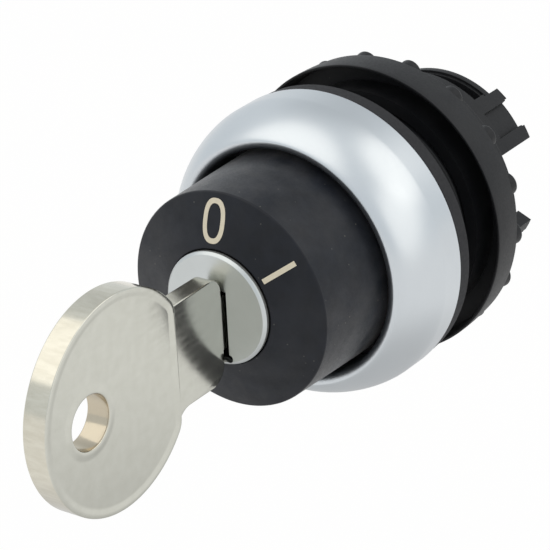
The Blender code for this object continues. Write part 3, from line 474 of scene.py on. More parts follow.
# The print sits a few degrees off the key's own upright, as on the one in the photo
marks = {"zeroAngle": -4.5, "zeroRadius": 8.2, "zeroLean": -2.1, "zeroWidth": 2.42, "zeroHeight": 4.0,
         "zeroStroke": 0.46, "zeroPower": 2.5, "zeroPoints": 96, "barAngle": 54.4, "barInner": 6.2, "barOuter": 9.7,
         "barWidth": 0.5, "barCells": 10, "lift": 0.03, "sink": 0.05}


def faceHeight(radius):
    # Height of the housing's conical face
    s = housing
    top, share = frontOf("lock_housing"), (radius - s["hole"]) / (s["frontRadius"] - s["hole"])
    return top + (s["edgeHeight"] - top) * share


def makeLockHousing():
    s = housing
    wide, face, tail = reachesOf("lock_housing")
    outline = softCorners([
        (s["hole"], face, s["holeEdge"]), (s["frontRadius"], s["edgeHeight"], s["edge"]), (wide, s["seat"], 0),
        (s["tailRadius"], s["seat"], 0), (s["tailRadius"], s["snapTop"], 0),
        (s["tailRadius"] + s["snapLip"], s["snapTop"], 0), (s["tailRadius"], tail, 0), (s["bore"], tail, 0),
        (s["bore"], face - s["frontWall"], 0), (s["hole"], face - s["frontWall"], 0)])
    reach, half = s["tailRadius"] + 1, s["slit"] / 2
    depth = (tail - 1, tail + s["slitDepth"])
    slits = [boxMesh("slitAcross", (-reach, reach), depth, (-half, half)),
             boxMesh("slitUpright", (-half, half), depth, (-reach, reach))]
    mesh = combined(turnedMesh("lockHousing", outline, s["steps"]), slits)
    return addPiece("lockHousing", mesh, housingNylon, "switch_body", ["lock_housing"])


def inkMesh(name, edges, ends):
    # A skin of ink on the conical face between two edges, each a row of (across, up) points
    bm = bmesh.new()
    rows = []
    for points in zip(*edges):
        row = []
        for across, up in points:
            height = faceHeight(math.hypot(across, up))
            for lift in (-marks["sink"], marks["lift"]):
                row.append(bm.verts.new(Vector((across, -height - lift, up)) * mm))
        rows.append([row[j] for j in (0, 1, 3, 2)])
    bridge(bm, rows, ends)
    return meshFrom(name, bm)


def outAndAside(angle):
    # Directions on the front, away from the axis and clockwise across, at an angle from the top
    turn = math.radians(angle)
    return Vector((math.sin(turn), math.cos(turn))), Vector((math.cos(turn), -math.sin(turn)))


def makeMarks():
    s = marks
    edges = []
    middle = outAndAside(s["zeroAngle"])[0] * s["zeroRadius"]
    along, aside = outAndAside(s["zeroLean"])
    for side in (-1.0, 0.0):
        wide, high = s["zeroWidth"] / 2 + side * s["zeroStroke"], s["zeroHeight"] / 2 + side * s["zeroStroke"]
        edge = []
        for k in range(s["zeroPoints"]):
            turn = 2 * math.pi * k / s["zeroPoints"]
            across = math.copysign(abs(math.cos(turn)) ** (2 / s["zeroPower"]), math.cos(turn))
            up = math.copysign(abs(math.sin(turn)) ** (2 / s["zeroPower"]), math.sin(turn))
            edge.append(tuple(middle + aside * wide * across + along * high * up))
        edges.append(edge)
    addPiece("zeroMark", inkMesh("zeroMark", edges, "joined"), creamInk, "switch_body", [])
    along, aside = outAndAside(s["barAngle"])
    reaches = [s["barInner"] + (s["barOuter"] - s["barInner"]) * k / s["barCells"] for k in range(s["barCells"] + 1)]
    edges = [[tuple(along * reach + aside * side * s["barWidth"]) for reach in reaches] for side in (-0.5, 0.5)]
    addPiece("oneMark", inkMesh("oneMark", edges, "capped"), creamInk, "switch_body", [])


# Lock plug

plug = {"bevel": 0.27, "edge": 0.1, "radius": 5.2, "headRear": 15.9, "barrelRear": 3.0, "groove": 4.6,
        "grooveRear": 1.7, "rear": 0.6, "tail": 5.0, "tailEnd": -3.8, "mouth": (-5.0, 2.0), "mouthDepth": 2.0,
        "corner": 0.4, "half": 1.3, "way": (-4.2, 1.9), "wayEnd": 4.2, "screwHole": 1.3, "screwDepth": -0.1,
        "waferFirst": 14.0, "waferPitch": 2.2, "waferHalf": 3.9, "waferRoom": 0.75, "wafers": 5, "steps": 144,
        "drillSteps": 24}


def makePlugNickel():
    # Nickel-plated zinc, faced on a lathe: satin, with fine rings round the axis, and painted shade, black and not
    # metallic, below the face and down the keyway
    look = {"colour": "#CCD0D0", "shade": "#C1C5C4", "patch": 2.5, "grain": 0.15, "roughness": (0.30, 0.40),
            "relief": 0.03, "metallic": 1.0, "ring": 0.16, "ringRelief": 0.04, "paintedShade": "#0C0B0A", "paintedShadeFrom": 0.3,
            "paintedShadeFull": 0.6}
    material, tree, shader, place = makeFinish("plugNickel", look)
    even = shader.inputs["Normal"].links[0].from_socket
    # The tool's feed is about 0.04 mm; its rings are drawn four times as coarse so that they show. A wave texture
    # repeats every tenth of pi.
    rings = addNode(tree, "ShaderNodeTexWave", {
        "Vector": place, "Scale": perMm(look["ring"]) * math.pi / 10, "Distortion": 1.5, "Detail": 2.0,
        "Detail Scale": 2.0}, wave_type="RINGS", rings_direction="Y")
    bump = addNode(tree, "ShaderNodeBump", {
        "Height": rings[1], "Normal": even, "Strength": look["ringRelief"], "Distance": 0.01 * mm})
    tree.links.new(bump[0], shader.inputs["Normal"])
    # Depth below the face says where the painted shade begins
    depth = addNode(tree, "ShaderNodeSeparateXYZ", {0: place})[1]
    face = -frontOf("lock_plug")
    paintedShade = addNode(tree, "ShaderNodeMapRange", {
        "Value": depth, "From Min": (face + look["paintedShadeFrom"]) * mm, "From Max": (face + look["paintedShadeFull"]) * mm})
    overlay(tree, shader, paintedShade[0], fromHex(look["paintedShade"]))
    # Under the painted shade the plug is not metallic
    metalOutsideShade = addNode(tree, "ShaderNodeMath", {0: look["metallic"], 1: paintedShade[0]}, operation="SUBTRACT")
    tree.links.new(metalOutsideShade[0], shader.inputs["Metallic"])
    return material


def makeLockPlug():
    s = plug
    front, head = frontOf("lock_plug"), radiusOf("lock_plug")
    outline = softCorners([
        (0, front, 0), (head - s["bevel"], front, s["edge"]), (head, front - s["bevel"], s["edge"]),
        (head, s["headRear"], 0), (s["radius"], s["headRear"], 0), (s["radius"], s["barrelRear"], 0),
        (s["groove"], s["barrelRear"], 0), (s["groove"], s["grooveRear"], 0), (s["radius"], s["grooveRear"], 0),
        (s["radius"], s["rear"], 0), (0, s["rear"], 0)], segments=3)
    mesh = turnedMesh("lockPlug", outline, s["steps"])
    tail = s["tail"] / 2
    mesh = combined(mesh, [boxMesh("tail", (-tail, tail), (s["tailEnd"], s["rear"] + 1), (-tail, tail))], "UNION")
    half, mouthFloor = s["half"], front - s["mouthDepth"]
    cuts = [boxMesh("mouth", (-half, half), (mouthFloor, front + 1), s["mouth"]),
            boxMesh("way", (-half, half), (s["wayEnd"], front + 1), s["way"])]
    for side in (-half, half):
        drill = turnedMesh("drill", [
            (0, mouthFloor), (s["corner"], mouthFloor), (s["corner"], front + 1), (0, front + 1)], s["drillSteps"])
        drill.transform(Matrix.Translation(Vector((side, 0, s["mouth"][0] + s["corner"] / 2)) * mm))
        cuts.append(drill)
    for k in range(s["wafers"]):
        height = s["waferFirst"] - k * s["waferPitch"]
        cuts.append(boxMesh("slot", (-s["waferHalf"], s["waferHalf"]),
                            (height - s["waferRoom"], height + s["waferRoom"]), (-s["radius"] - 1, s["radius"] + 1)))
    hole, behind = s["screwHole"], s["tailEnd"] - 1
    cuts.append(turnedMesh("screwHole", [
        (0, behind), (0, s["screwDepth"]), (hole, s["screwDepth"]), (hole, behind)], s["drillSteps"]))
    return addPiece("lockPlug", combined(mesh, cuts), makePlugNickel(), "lock", ["lock_plug"])


# Key

keyShape = {"flat": 8.6, "corner": 2.2, "edge": 0.13, "edgePoints": 6, "border": 0.37, "slope": 0.26, "sink": 0.075,
            "rimPoints": 150, "cornerPoints": 16, "holePoints": 80, "holeRadius": 2.6, "holeForward": 4.2,
            "thickness": 2.0, "top": 3.7, "bottom": -7.0, "topRound": 1.5, "lowerRound": 2.0, "throat": 2.0,
            "roundPoints": 12, "gap": 0.3, "blade": (-3.9, 1.6), "bitDepths": (0.6, 1.2, 0.4, 1.0, 0.8),
            "bitHalf": 0.5, "shankEdge": 0.15}


def bladeOutline(shoulder, tip):
    # From the shoulder along the top to the tip and back along the bits
    s = keyShape
    bottom, top = s["blade"]
    nose = (top - bottom) / 3
    outline = [(shoulder, top), (tip + nose, top), (tip, top - nose), (tip, bottom + nose), (tip + nose, bottom)]
    for k in reversed(range(plug["wafers"])):
        middle, depth = plug["waferFirst"] - k * plug["waferPitch"], s["bitDepths"][k]
        flank = min(depth, plug["waferPitch"] / 2 - s["bitHalf"] - s["gap"] / 2)
        if middle - s["bitHalf"] - flank > tip + nose:
            outline += [(middle - s["bitHalf"] - flank, bottom), (middle - s["bitHalf"], bottom + depth),
                        (middle + s["bitHalf"], bottom + depth), (middle + s["bitHalf"] + flank, bottom)]
    return outline + [(shoulder, bottom)]


def bowCentre():
    # Middle of the bow's disc as (height, up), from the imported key's box
    low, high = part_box("key")
    return frontOf("key") - (high.z - low.z) / 2 / mm, (high.z + low.z) / 2 / mm


def makeKeyNickel():
    # Nickel plate on stamped brass, tumbled bright: a grey mirror with a fine mottle. The sheared rim is streaked
    # across its thickness, and in the hole the ring has rubbed it down to dull brass.
    look = {"colour": "#D0D0C7", "shade": "#C3C3B9", "patch": 1.2, "grain": 0.4, "stretch": (1.0, 0.15, 1.0),
            "roughness": (0.13, 0.2), "relief": 0.01, "metallic": 1.0, "rim": "#DAD5C5", "rimStreak": "#CDC7B6",
            "rimShare": 0.7, "streak": 0.5, "streakStretch": (0.25, 1.0, 1.0), "rubbed": "#C2B8A4", "rubbedEdge": 0.1}
    material, tree, shader, place = makeFinish("keyNickel", look)
    # The rim and the hole's wall are where the surface faces along the key's own plane
    normal = addNode(tree, "ShaderNodeTexCoord")["Normal"]
    facing = addNode(tree, "ShaderNodeSeparateXYZ", {0: normal})[0]
    side = addNode(tree, "ShaderNodeMath", {0: facing}, operation="ABSOLUTE")[0]
    edge = addNode(tree, "ShaderNodeMapRange", {
        "Value": side, "From Min": 0.9, "From Max": 0.2, "To Max": look["rimShare"]})
    drawn = addNode(tree, "ShaderNodeMapping", {"Vector": place, "Scale": look["streakStretch"]})
    streaks = addNode(tree, "ShaderNodeTexNoise", {
        "Vector": drawn[0], "Scale": perMm(look["streak"]), "Detail": 3.0})
    spread = addNode(tree, "ShaderNodeMapRange", {"Value": streaks[0], "From Min": 0.35, "From Max": 0.65})
    tone = addNode(tree, "ShaderNodeMix", {
        0: spread[0], 6: fromHex(look["rim"]), 7: fromHex(look["rimStreak"])}, data_type="RGBA")
    overlay(tree, shader, edge[0], tone[2])
    # Distance from the hole's own axis
    centre = bowCentre()
    hole = Vector((0.0, -centre[0] - keyShape["holeForward"], centre[1])) * mm
    flat = addNode(tree, "ShaderNodeVectorMath", {0: place, 1: (0.0, 1.0, 1.0)}, operation="MULTIPLY")[0]
    away = addNode(tree, "ShaderNodeVectorMath", {0: flat, 1: hole}, operation="DISTANCE")["Value"]
    wall = keyShape["holeRadius"] * mm
    inside = addNode(tree, "ShaderNodeMapRange", {
        "Value": away, "From Min": wall + look["rubbedEdge"] * mm, "From Max": wall})
    overlay(tree, shader, inside[0], fromHex(look["rubbed"]))
    return material


def bowCorner(centre, radius):
    # Middle of the bow's lower rounded corner, the same for every inset of the rim
    s = keyShape
    back = s["flat"] - s["corner"]
    return centre[0] - back, centre[1] - math.sqrt((radius - s["corner"]) ** 2 - back ** 2)


def bowRim(centre, radius, inset):
    # Outline of the bow, a disc cut off straight with rounded corners, drawn in by the inset
    s = keyShape
    step, low = bowCorner(centre, radius)
    chord = math.degrees(math.atan2(centre[1] - low, centre[0] - step))
    corner = s["corner"] - inset
    rim = arcPoints(centre, radius - inset, chord - 180, 180 - chord, s["rimPoints"])[1:-1]
    rim += arcPoints((step, 2 * centre[1] - low), corner, 180 - chord, 180, s["cornerPoints"])
    return rim + arcPoints((step, low), corner, 180, 180 + chord, s["cornerPoints"])


def bowMesh(centre, radius, half):
    # Lofts the rounded rim and hole, with a low border that a coining die leaves round both, and fills the faces
    s = keyShape
    turns = [math.pi / 2 * k / s["edgePoints"] for k in range(s["edgePoints"] + 1)]
    section = [(s["edge"] * (1 - math.cos(t)), half - s["edge"] * (1 - math.sin(t))) for t in turns]
    border = s["edge"] + s["border"]
    floor = half - s["sink"]
    section += [(border, half), (border + s["slope"], floor), (border + 2 * s["slope"], floor)]
    section = [(inset, -side) for inset, side in reversed(section)] + section
    hole = (centre[0] + s["holeForward"], centre[1])
    bm = bmesh.new()
    ends = []
    for outline in (lambda inset: bowRim(centre, radius, inset),
                    lambda inset: arcPoints(hole, s["holeRadius"] + inset, 0, 360, s["holePoints"])[:-1]):
        rings = [[bm.verts.new(Vector((side, -height, up)) * mm) for height, up in outline(inset)]
                 for inset, side in section]
        bridge(bm, rings, "open")
        ends.append((rings[0], rings[-1]))
    for loops in zip(*ends):
        edges = [bm.edges.get((loop[j], loop[(j + 1) % len(loop)])) for loop in loops for j in range(len(loop))]
        bmesh.ops.triangle_fill(bm, use_beauty=True, edges=edges)
    return meshFrom("bow", bm)


def makeKey():
    s = keyShape
    low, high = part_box("key")
    radius, centre = (high.z - low.z) / 2 / mm, bowCentre()
    bow = bowMesh(centre, radius, high.x / mm)
    # Shank and blade are one strip that runs into the bow
    shoulder, root = frontOf("lock_plug") + s["gap"], centre[0] - s["flat"] + s["edge"] + s["gap"]
    count = s["roundPoints"]
    strip = [(root, s["top"])]
    strip += arcPoints((shoulder + s["topRound"], s["top"] - s["topRound"]), s["topRound"], 90, 180, count)
    strip += bladeOutline(shoulder, rearOf("key"))
    strip += arcPoints((shoulder + s["lowerRound"], s["bottom"] + s["lowerRound"]), s["lowerRound"], 180, 270, count)
    # A throat leads the lower edge into the bow's rounded corner
    depth = s["bottom"] - s["throat"]
    cornerAt = bowCorner(centre, radius)
    reach = s["corner"] + s["throat"]
    start = cornerAt[0] - math.sqrt(reach ** 2 - (cornerAt[1] - depth) ** 2)
    turn = math.degrees(math.atan2(cornerAt[1] - depth, cornerAt[0] - start))
    strip += arcPoints((start, depth), s["throat"], 90, turn, count)
    strip += [cornerAt]
    mesh = combined(flatSolid("shank", strip, s["thickness"], s["shankEdge"]), [bow], "UNION")
    return addPiece("nickelKey", mesh, makeKeyNickel(), "key", ["key"])


# Ring nut

nut = {"band": 3.6, "step": 1.2, "edge": 0.08, "crown": 0.2, "crownRings": 8, "rimWall": 0.6, "rimFront": 0.25,
       "recess": 3.0, "bossRadius": 12.4, "bore": 11.2, "knobs": 17, "knobRadius": 1.1, "knobPhase": 10.3,
       "knobRoot": 0.9, "knobSetback": 0.6, "knobEdge": 0.3, "knobRings": 6, "hubStart": 0.008, "stepsPerKnob": 44}


def makeKnobTree():
    # Pushes a turned blank outwards into half-round knobs
    tree, given = startTree("nutKnobs", ("Count", "Phase", "Core Radius", "Knob Radius"))
    place, around = roundAxis(tree)[:2]
    turned = addNode(tree, "ShaderNodeMath", {0: around, 1: given["Phase"]}, operation="SUBTRACT")[0]
    # Angle from the middle of the nearest knob
    ahead = addNode(tree, "ShaderNodeMath", {0: math.pi, 1: given["Count"]}, operation="DIVIDE")[0]
    behind = addNode(tree, "ShaderNodeMath", {0: ahead, 1: -1.0}, operation="MULTIPLY")[0]
    offset = addNode(tree, "ShaderNodeMath", {0: turned, 1: ahead, 2: behind}, operation="WRAP")[0]
    sine = addNode(tree, "ShaderNodeMath", {0: offset}, operation="SINE")[0]
    aside = addNode(tree, "ShaderNodeMath", {0: sine, 1: given["Core Radius"]}, operation="MULTIPLY")[0]
    whole = addNode(tree, "ShaderNodeMath", {0: given["Knob Radius"], 1: 2.0}, operation="POWER")[0]
    lost = addNode(tree, "ShaderNodeMath", {0: aside, 1: aside}, operation="MULTIPLY")[0]
    left = addNode(tree, "ShaderNodeMath", {0: whole, 1: lost}, operation="SUBTRACT")[0]
    rise = addNode(tree, "ShaderNodeMath", {0: left}, operation="SQRT")[0]  # nought past the knob's sides
    return endTree(tree, pushedOut(tree, given, place, rise), blackNylon)


def makeRingNut():
    s = nut
    band, front, rear = reachesOf("ring_nut")
    core, bandRear, knobRear = band - s["step"], front - s["band"], rear + s["knobSetback"]
    rim, floor = band - s["rimWall"], front - s["recess"]
    outline = softCorners([
        (rim, floor, 0), (band - s["rimFront"], front, s["edge"]), (band, front, s["edge"]), (band, bandRear, 0)])[:-1]
    # The band is crowned: it falls away ever faster towards the rear
    for k in range(1, s["crownRings"] + 1):
        share = k / s["crownRings"]
        outline.append((band - s["crown"] * share ** 2, front - s["edge"] - (s["band"] - s["edge"]) * share))
    # Knobs reach from the band to a rounded rear end; each ring takes its share of the push
    shares = [0.0] * len(outline)
    outline.append((core, bandRear))
    shares.append(s["knobRoot"])
    for k in range(s["knobRings"] + 1):
        turn = math.pi / 2 * k / s["knobRings"]
        outline.append((core, knobRear + s["knobEdge"] * (1 - math.sin(turn))))
        shares.append(1 - (1 - math.cos(turn)) * s["knobEdge"] / s["knobRadius"])
    # The hub starts a hair behind the last knob ring, so that the two aren't welded before the push
    hub = softCorners([(core, knobRear - s["hubStart"], 0), (core, rear, s["edge"]), (s["bore"], rear, s["edge"]),
                       (s["bore"], front, 0), (s["bossRadius"], front, 0), (s["bossRadius"], floor, 0)])
    outline += hub
    shares += [0.0] * len(hub)
    blank = turnedMesh("ringNut", outline, s["knobs"] * s["stepsPerKnob"], shares)
    mesh = grown(blank, makeKnobTree(), {
        "Count": float(s["knobs"]), "Phase": math.radians(s["knobPhase"]), "Core Radius": core * mm,
        "Knob Radius": s["knobRadius"] * mm})
    return addPiece("ringNut", mesh, blackNylon, "ring_nut", ["ring_nut"])


# Neck and rear sleeve

neck = {"radius": 10.9, "bore": 9.3, "mouthBore": 8.9, "shoulder": 1.5, "flangeRear": 1.3, "edge": 0.12,
        "toothEdge": 0.22, "nose": (-0.7, 2.6), "noseWidth": 3.0, "noseTop": 12.8, "seatRadius": 10.25,
        "seatHalf": 0.65, "seatFloor": 3.0, "steps": 180, "block": (34.9, 65.9), "tooth": 7.2, "draft": 0.7,
        "toothStep": 0.4, "relief": 0.5, "reliefLength": 4.4, "notchFloor": -12.0, "window": (-18.9, -15.7),
        "jamb": 1.2, "rimStep": 1.1, "rimLip": 0.9, "lipAhead": 0.3}
thread = {"span": (-11.4, -0.9), "seat": 10.5, "root": 10.68, "depth": 0.32, "pitch": 1.5, "rings": 120, "fade": 1.0,
          "flank": (0.12, 0.38), "sharp": 60.0, "steps": 180}


def makeActuatorBody():
    s = neck
    flange, front, rear = reachesOf("actuator_body")
    low, high = thread["span"]
    seatIn, seatOut = s["seatRadius"] - s["seatHalf"], s["seatRadius"] + s["seatHalf"]
    outline = softCorners([
        (flange, front, s["edge"]), (flange, s["flangeRear"], s["edge"]), (s["radius"], s["flangeRear"], 0),
        (s["radius"], high, 0), (thread["seat"], high, 0), (thread["seat"], low, 0), (s["radius"], low, s["edge"]),
        (s["radius"], rear, 0), (s["bore"], rear, 0), (s["bore"], s["shoulder"], 0), (s["mouthBore"], s["shoulder"], 0),
        (s["mouthBore"], front, 0), (seatIn, front, 0), (seatIn, s["seatFloor"], 0), (seatOut, s["seatFloor"], 0),
        (seatOut, front, 0)], segments=2)
    mesh = turnedMesh("actuatorBody", outline, s["steps"])
    half = s["noseWidth"] / 2
    mesh = combined(mesh, [boxMesh("nose", (-half, half), s["nose"], (s["bore"], s["noseTop"]))], "UNION")
    through, behind = (s["bore"] - 1, s["radius"] + 1), rear - 1
    start, end = s["block"]
    opening = start - s["jamb"]
    cuts = []
    for turn in (0, 180):
        cuts += [sectorMesh("notch", through, (turn + end, turn + 180 - end), (behind, s["notchFloor"])),
                 sectorMesh("window", through, (turn - opening, turn + opening), s["window"]),
                 sectorMesh("rim", (s["radius"] - s["rimStep"], through[1]), (turn - start, turn + start),
                            (behind, sum(s["window"]) / 2))]
        for side in (1, -1):
            middle = turn + side * (start + end) / 2
            room = (end - start) / 2 - s["tooth"]
            cuts += [sectorMesh("gap", through, (middle - room, middle + room), (behind, rear + s["toothStep"])),
                     sectorMesh("relief", (s["radius"] - s["relief"], through[1]),
                                (middle - room + s["draft"], middle + room - s["draft"]),
                                (behind, rear + s["reliefLength"]))]
    # A lip behind each window closes the view into the sleeve
    lips = [sectorMesh("lip", (s["bore"] - s["rimLip"], (s["bore"] + s["radius"] - s["rimStep"]) / 2),
                       (turn - opening + s["jamb"], turn + opening - s["jamb"]),
                       (rear + s["toothStep"], s["window"][0] + s["lipAhead"])) for turn in (0, 180)]
    mesh = softened(combined(combined(mesh, cuts), lips, "UNION"), s["toothEdge"], segments=3)
    return addPiece("actuatorBody", mesh, blackNylon, "switch_body", ["actuator_body"])


def makeThreadTree():
    # Raises a right-hand thread on a turned sleeve
    tree, given = startTree("neckThread", ("Pitch", "Depth"))
    place, around, depth = roundAxis(tree)
    turns = addNode(tree, "ShaderNodeMath", {0: around, 1: 2 * math.pi}, operation="DIVIDE")[0]
    along = addNode(tree, "ShaderNodeMath", {0: depth, 1: given["Pitch"]}, operation="DIVIDE")[0]
    phase = addNode(tree, "ShaderNodeMath", {0: turns, 1: along}, operation="SUBTRACT")[0]
    zigzag = addNode(tree, "ShaderNodeMath", {0: phase, 1: 0.5}, operation="PINGPONG")[0]
    foot, top = thread["flank"]
    crest = addNode(tree, "ShaderNodeMapRange", {
        "Value": zigzag, "From Min": foot, "From Max": top, "To Max": given["Depth"]}, interpolation_type="SMOOTHSTEP")
    return endTree(tree, pushedOut(tree, given, place, crest[0]), blackNylon)


def makeNeckThread():
    s = thread
    low, high = s["span"]
    outline, shares = [(s["seat"] - s["depth"], high), (s["root"], high)], [0.0, 0.0]
    for k in range(s["rings"] + 1):
        height = high - (high - low) * k / s["rings"]
        outline.append((s["root"], height))
        shares.append(min(1.0, (high - height) / s["fade"], (height - low) / s["fade"]))
    outline += [(s["seat"] - s["depth"], low)]
    shares += [0.0]
    blank = turnedMesh("neckThread", outline, s["steps"], shares)
    mesh = grown(blank, makeThreadTree(), {"Pitch": s["pitch"] * mm, "Depth": s["depth"] * mm})
    return addPiece("neckThread", mesh, blackNylon, "switch_body", [], s["sharp"])


# Wafer springs and the small parts that show at the rear

spring = {"turns": 6.0, "wire": 0.075, "sides": 10, "stepsPerTurn": 20}
smallParts = {
    "leftTappet": {"node": "tappet_left", "body": "tappet_left", "edge": 0.1, "steel": False},
    "rightTappet": {"node": "tappet_right", "body": "tappet_right", "edge": 0.1, "steel": False},
    "tappetGuide": {"node": "tappet_guide", "body": "switch_body", "edge": 0.1, "steel": False},
    "rotorScrew": {"node": "rotor_screw", "body": "lock", "edge": 0.12, "steel": True}}


def makeSpringTree():
    # Sets a wire coil on every point of the blank
    tree, given = startTree("waferSprings", ("Turns", "Radius", "Height", "Wire"))
    coil = addNode(tree, "GeometryNodeCurveSpiral", {
        "Resolution": spring["stepsPerTurn"], "Rotations": given["Turns"], "Start Radius": given["Radius"],
        "End Radius": given["Radius"], "Height": given["Height"]})
    section = addNode(tree, "GeometryNodeCurvePrimitiveCircle", {
        "Resolution": spring["sides"], "Radius": given["Wire"]})
    wire = addNode(tree, "GeometryNodeCurveToMesh", {
        "Curve": coil[0], "Profile Curve": section[0], "Fill Caps": True})
    placed = addNode(tree, "GeometryNodeInstanceOnPoints", {"Points": given["Geometry"], "Instance": wire[0]})
    return endTree(tree, placed[0], springSteel)


def makeWaferSprings():
    names = [f"wafer_spring_{k + 1}" for k in range(plug["wafers"])]
    boxes = [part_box(name) for name in names]
    wire = spring["wire"] * mm
    feet = bpy.data.meshes.new("springFeet")
    feet.from_pydata([((low.x + high.x) / 2, (low.y + high.y) / 2, low.z + wire) for low, high in boxes], [], [])
    low, high = boxes[0]
    mesh = grown(feet, makeSpringTree(), {
        "Turns": spring["turns"], "Radius": (high.x - low.x) / 2 - wire, "Height": high.z - low.z - 2 * wire,
        "Wire": wire})
    return addPiece("waferSprings", mesh, springSteel, "lock", names)


def makeSmallParts():
    for name, s in smallParts.items():
        material, slot = (springSteel, "spring_steel") if s["steel"] else (blackNylon, "black_plastic")
        addPiece(name, softened(solidOf(s["node"]), s["edge"]), material, s["body"], [s["node"]])


makeBezelRing()
makePanelGasket()
makeLockHousing()
makeMarks()
makeLockPlug()
makeKey()
print("front pieces made")
makeRingNut()
makeActuatorBody()
makeNeckThread()
makeWaferSprings()
makeSmallParts()
print("rear pieces made")

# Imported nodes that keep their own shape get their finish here
finishes = {"housing_seal": gasketRubber, "plug_seal": gasketRubber, "lock_barrel": castZinc, "cam_rotor": whiteAcetal,
            "plug_circlip": springSteel, "detent_ball": springSteel, "detent_spring": springSteel}
for number in range(1, plug["wafers"] + 1):
    finishes[f"wafer_{number}"] = waferBrass
for nodeName, finish in finishes.items():
    packed = nodes[nodeName]
    packed.data.materials.clear()
    packed.data.materials.append(finish)


# Floor, light and camera

stage = {"drop": 34.0, "size": 6000.0, "cells": 8, "colour": "#F2F2F0", "shade": "#EDEDEA", "mottle": 60.0,
         "glow": 0.97, "shadowed": 0.66, "mirrored": 1.0, "shadowReach": (25.0, 80.0), "ambient": 0.7, "room": 0.67,
         "roomTint": "#F6FBFF", "lampTint": "#FFF6EA", "corner": (-157.0, 45.0), "cornerLevel": 0.0,
         "cornerReach": 0.84}
softboxes = {"frontTop": {"azimuth": -42.0, "elevation": 58.0, "distance": 700.0, "size": 940.0, "radiance": 0.67},
             "rightRear": {"azimuth": 126.0, "elevation": 46.0, "distance": 700.0, "size": 620.0, "radiance": 0.74},
             "rightFill": {"azimuth": 86.0, "elevation": 22.0, "distance": 800.0, "size": 700.0, "radiance": 0.57}}
view = {"azimuth": 36.25, "elevation": 25.12, "roll": -2.99, "distance": 300.0, "aim": (-7.02, -1.00, -6.03),
        "lens": 199.77, "sensor": 36.0, "clip": (10.0, 20000.0)}


def seenShare(tree, mirrored):
    # 1 for what the camera sees, straight or through glass, less for what a mirror shows, 0 for light that only bounces
    path = addNode(tree, "ShaderNodeLightPath")
    glossy = addNode(tree, "ShaderNodeMath", {0: path["Is Glossy Ray"], 1: mirrored}, operation="MULTIPLY")[0]
    seen = addNode(tree, "ShaderNodeMath", {0: path["Is Camera Ray"], 1: glossy}, operation="MAXIMUM")[0]
    return addNode(tree, "ShaderNodeMath", {0: seen, 1: path["Is Transmission Ray"]}, operation="MAXIMUM")[0]


def makeFloor():
    # Matte white paper; what is seen of it glows in part, so that it reads white and still takes the shadow
    bm = bmesh.new()
    bmesh.ops.create_grid(bm, x_segments=stage["cells"], y_segments=stage["cells"], size=stage["size"] * mm / 2)
    bmesh.ops.translate(bm, vec=(0.0, 0.0, cadBox[0].z - stage["drop"] * mm), verts=bm.verts)
    floor = linked("floor", meshFrom("floor", bm))
    material, tree, shader, place = makeFinish("whitePaper", {
        "colour": stage["colour"], "shade": stage["shade"], "patch": stage["mottle"], "grain": 2.0,
        "roughness": (0.85, 0.95), "relief": 0.0, "specular": 0.1})
    # Mirrored in metal, the paper's glow dims towards the object's foot: a painted shadow that only mirrors show
    flat = addNode(tree, "ShaderNodeVectorMath", {0: place, 1: (1.0, 1.0, 0.0)}, operation="MULTIPLY")[0]
    away = addNode(tree, "ShaderNodeVectorMath", {0: flat}, operation="LENGTH")["Value"]
    near, far = stage["shadowReach"]
    mirrored = addNode(tree, "ShaderNodeMapRange", {
        "Value": away, "From Min": near * mm, "From Max": far * mm, "To Min": stage["shadowed"],
        "To Max": stage["mirrored"]}, interpolation_type="SMOOTHSTEP")
    glow = addNode(tree, "ShaderNodeEmission", {"Strength": seenShare(tree, mirrored[0])})
    share = addNode(tree, "ShaderNodeMapRange", {"Value": seenShare(tree, 1.0), "To Max": stage["glow"]})
    mixed = addNode(tree, "ShaderNodeMixShader", {0: share[0], 1: shader.outputs[0], 2: glow[0]})
    tree.links.new(mixed[0], tree.nodes["Material Output"].inputs["Surface"])
    floor.data.materials.append(material)


def towards(azimuth, elevation):
    # Unit vector from the object; azimuth 0 is the front and 90 the right
    a, e = math.radians(azimuth), math.radians(elevation)
    return Vector((math.sin(a) * math.cos(e), -math.cos(a) * math.cos(e), math.sin(e)))


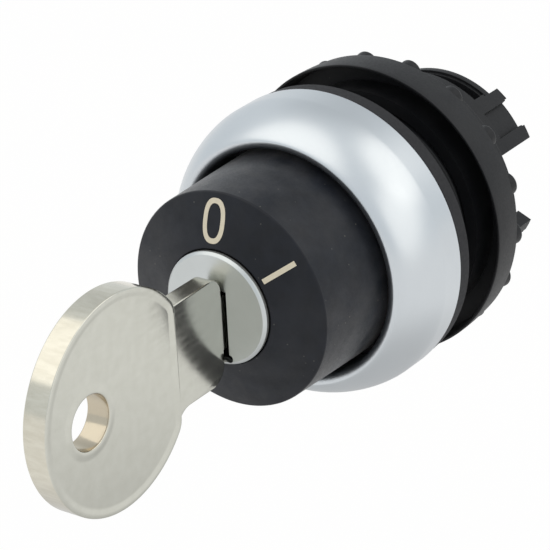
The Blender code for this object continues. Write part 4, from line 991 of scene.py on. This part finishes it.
def makeWorld():
    # A white room, a little cool in mirrors, with one dark corner behind on the left that the front ring shows
    world = bpy.data.worlds.new("whiteRoom")
    world.use_nodes = True
    tree = world.node_tree
    tree.nodes.clear()
    way = addNode(tree, "ShaderNodeTexCoord")["Generated"]
    near = addNode(tree, "ShaderNodeVectorMath", {0: way, 1: towards(*stage["corner"])}, operation="DOT_PRODUCT")
    room = addNode(tree, "ShaderNodeMapRange", {
        "Value": near["Value"], "From Min": stage["cornerReach"], "From Max": 1.0, "To Min": stage["room"],
        "To Max": stage["cornerLevel"]}, interpolation_type="SMOOTHSTEP")
    level = addNode(tree, "ShaderNodeMapRange", {
        "Value": seenShare(tree, room[0]), "To Min": stage["ambient"], "To Max": 1.0})
    mirror = addNode(tree, "ShaderNodeLightPath")["Is Glossy Ray"]
    tint = addNode(tree, "ShaderNodeMix", {0: mirror, 6: (1.0, 1.0, 1.0, 1.0), 7: fromHex(stage["roomTint"])},
                   data_type="RGBA")
    light = addNode(tree, "ShaderNodeBackground", {"Color": tint[2], "Strength": level[0]})
    addNode(tree, "ShaderNodeOutputWorld", {"Surface": light[0]})
    scene.world = world


def lookingBack(middle, direction, distance):
    # Place and turn of what stands off in a direction and looks back at the middle
    turn = (-direction).to_track_quat("-Z", "Y").to_matrix().to_4x4()
    return Matrix.Translation(middle + direction * distance * mm) @ turn


def makeLights():
    middle = (cadBox[0] + cadBox[1]) / 2
    for name, s in softboxes.items():
        lamp = bpy.data.lights.new(name, "AREA")
        lamp.shape = "DISK"
        lamp.color = fromHex(stage["lampTint"])[:3]
        lamp.size = s["size"] * mm
        lamp.energy = s["radiance"] * math.pi * math.pi * (lamp.size / 2) ** 2
        obj = linked(name, lamp)
        obj.matrix_world = lookingBack(middle, towards(s["azimuth"], s["elevation"]), s["distance"])
        obj.visible_camera = False


def makeCamera():
    s = view
    camera = linked("photoCamera", bpy.data.cameras.new("photoCamera"))
    camera.data.lens = s["lens"]
    camera.data.sensor_width = s["sensor"]
    stand = lookingBack(Vector(s["aim"]) * mm, towards(s["azimuth"], s["elevation"]), s["distance"])
    camera.matrix_world = stand @ Matrix.Rotation(math.radians(s["roll"]), 4, "Z")
    camera.data.clip_start, camera.data.clip_end = [reach * mm for reach in s["clip"]]
    scene.camera = camera


makeFloor()
makeWorld()
makeLights()
makeCamera()
scene.view_settings.view_transform = "Standard"
print("stage set")
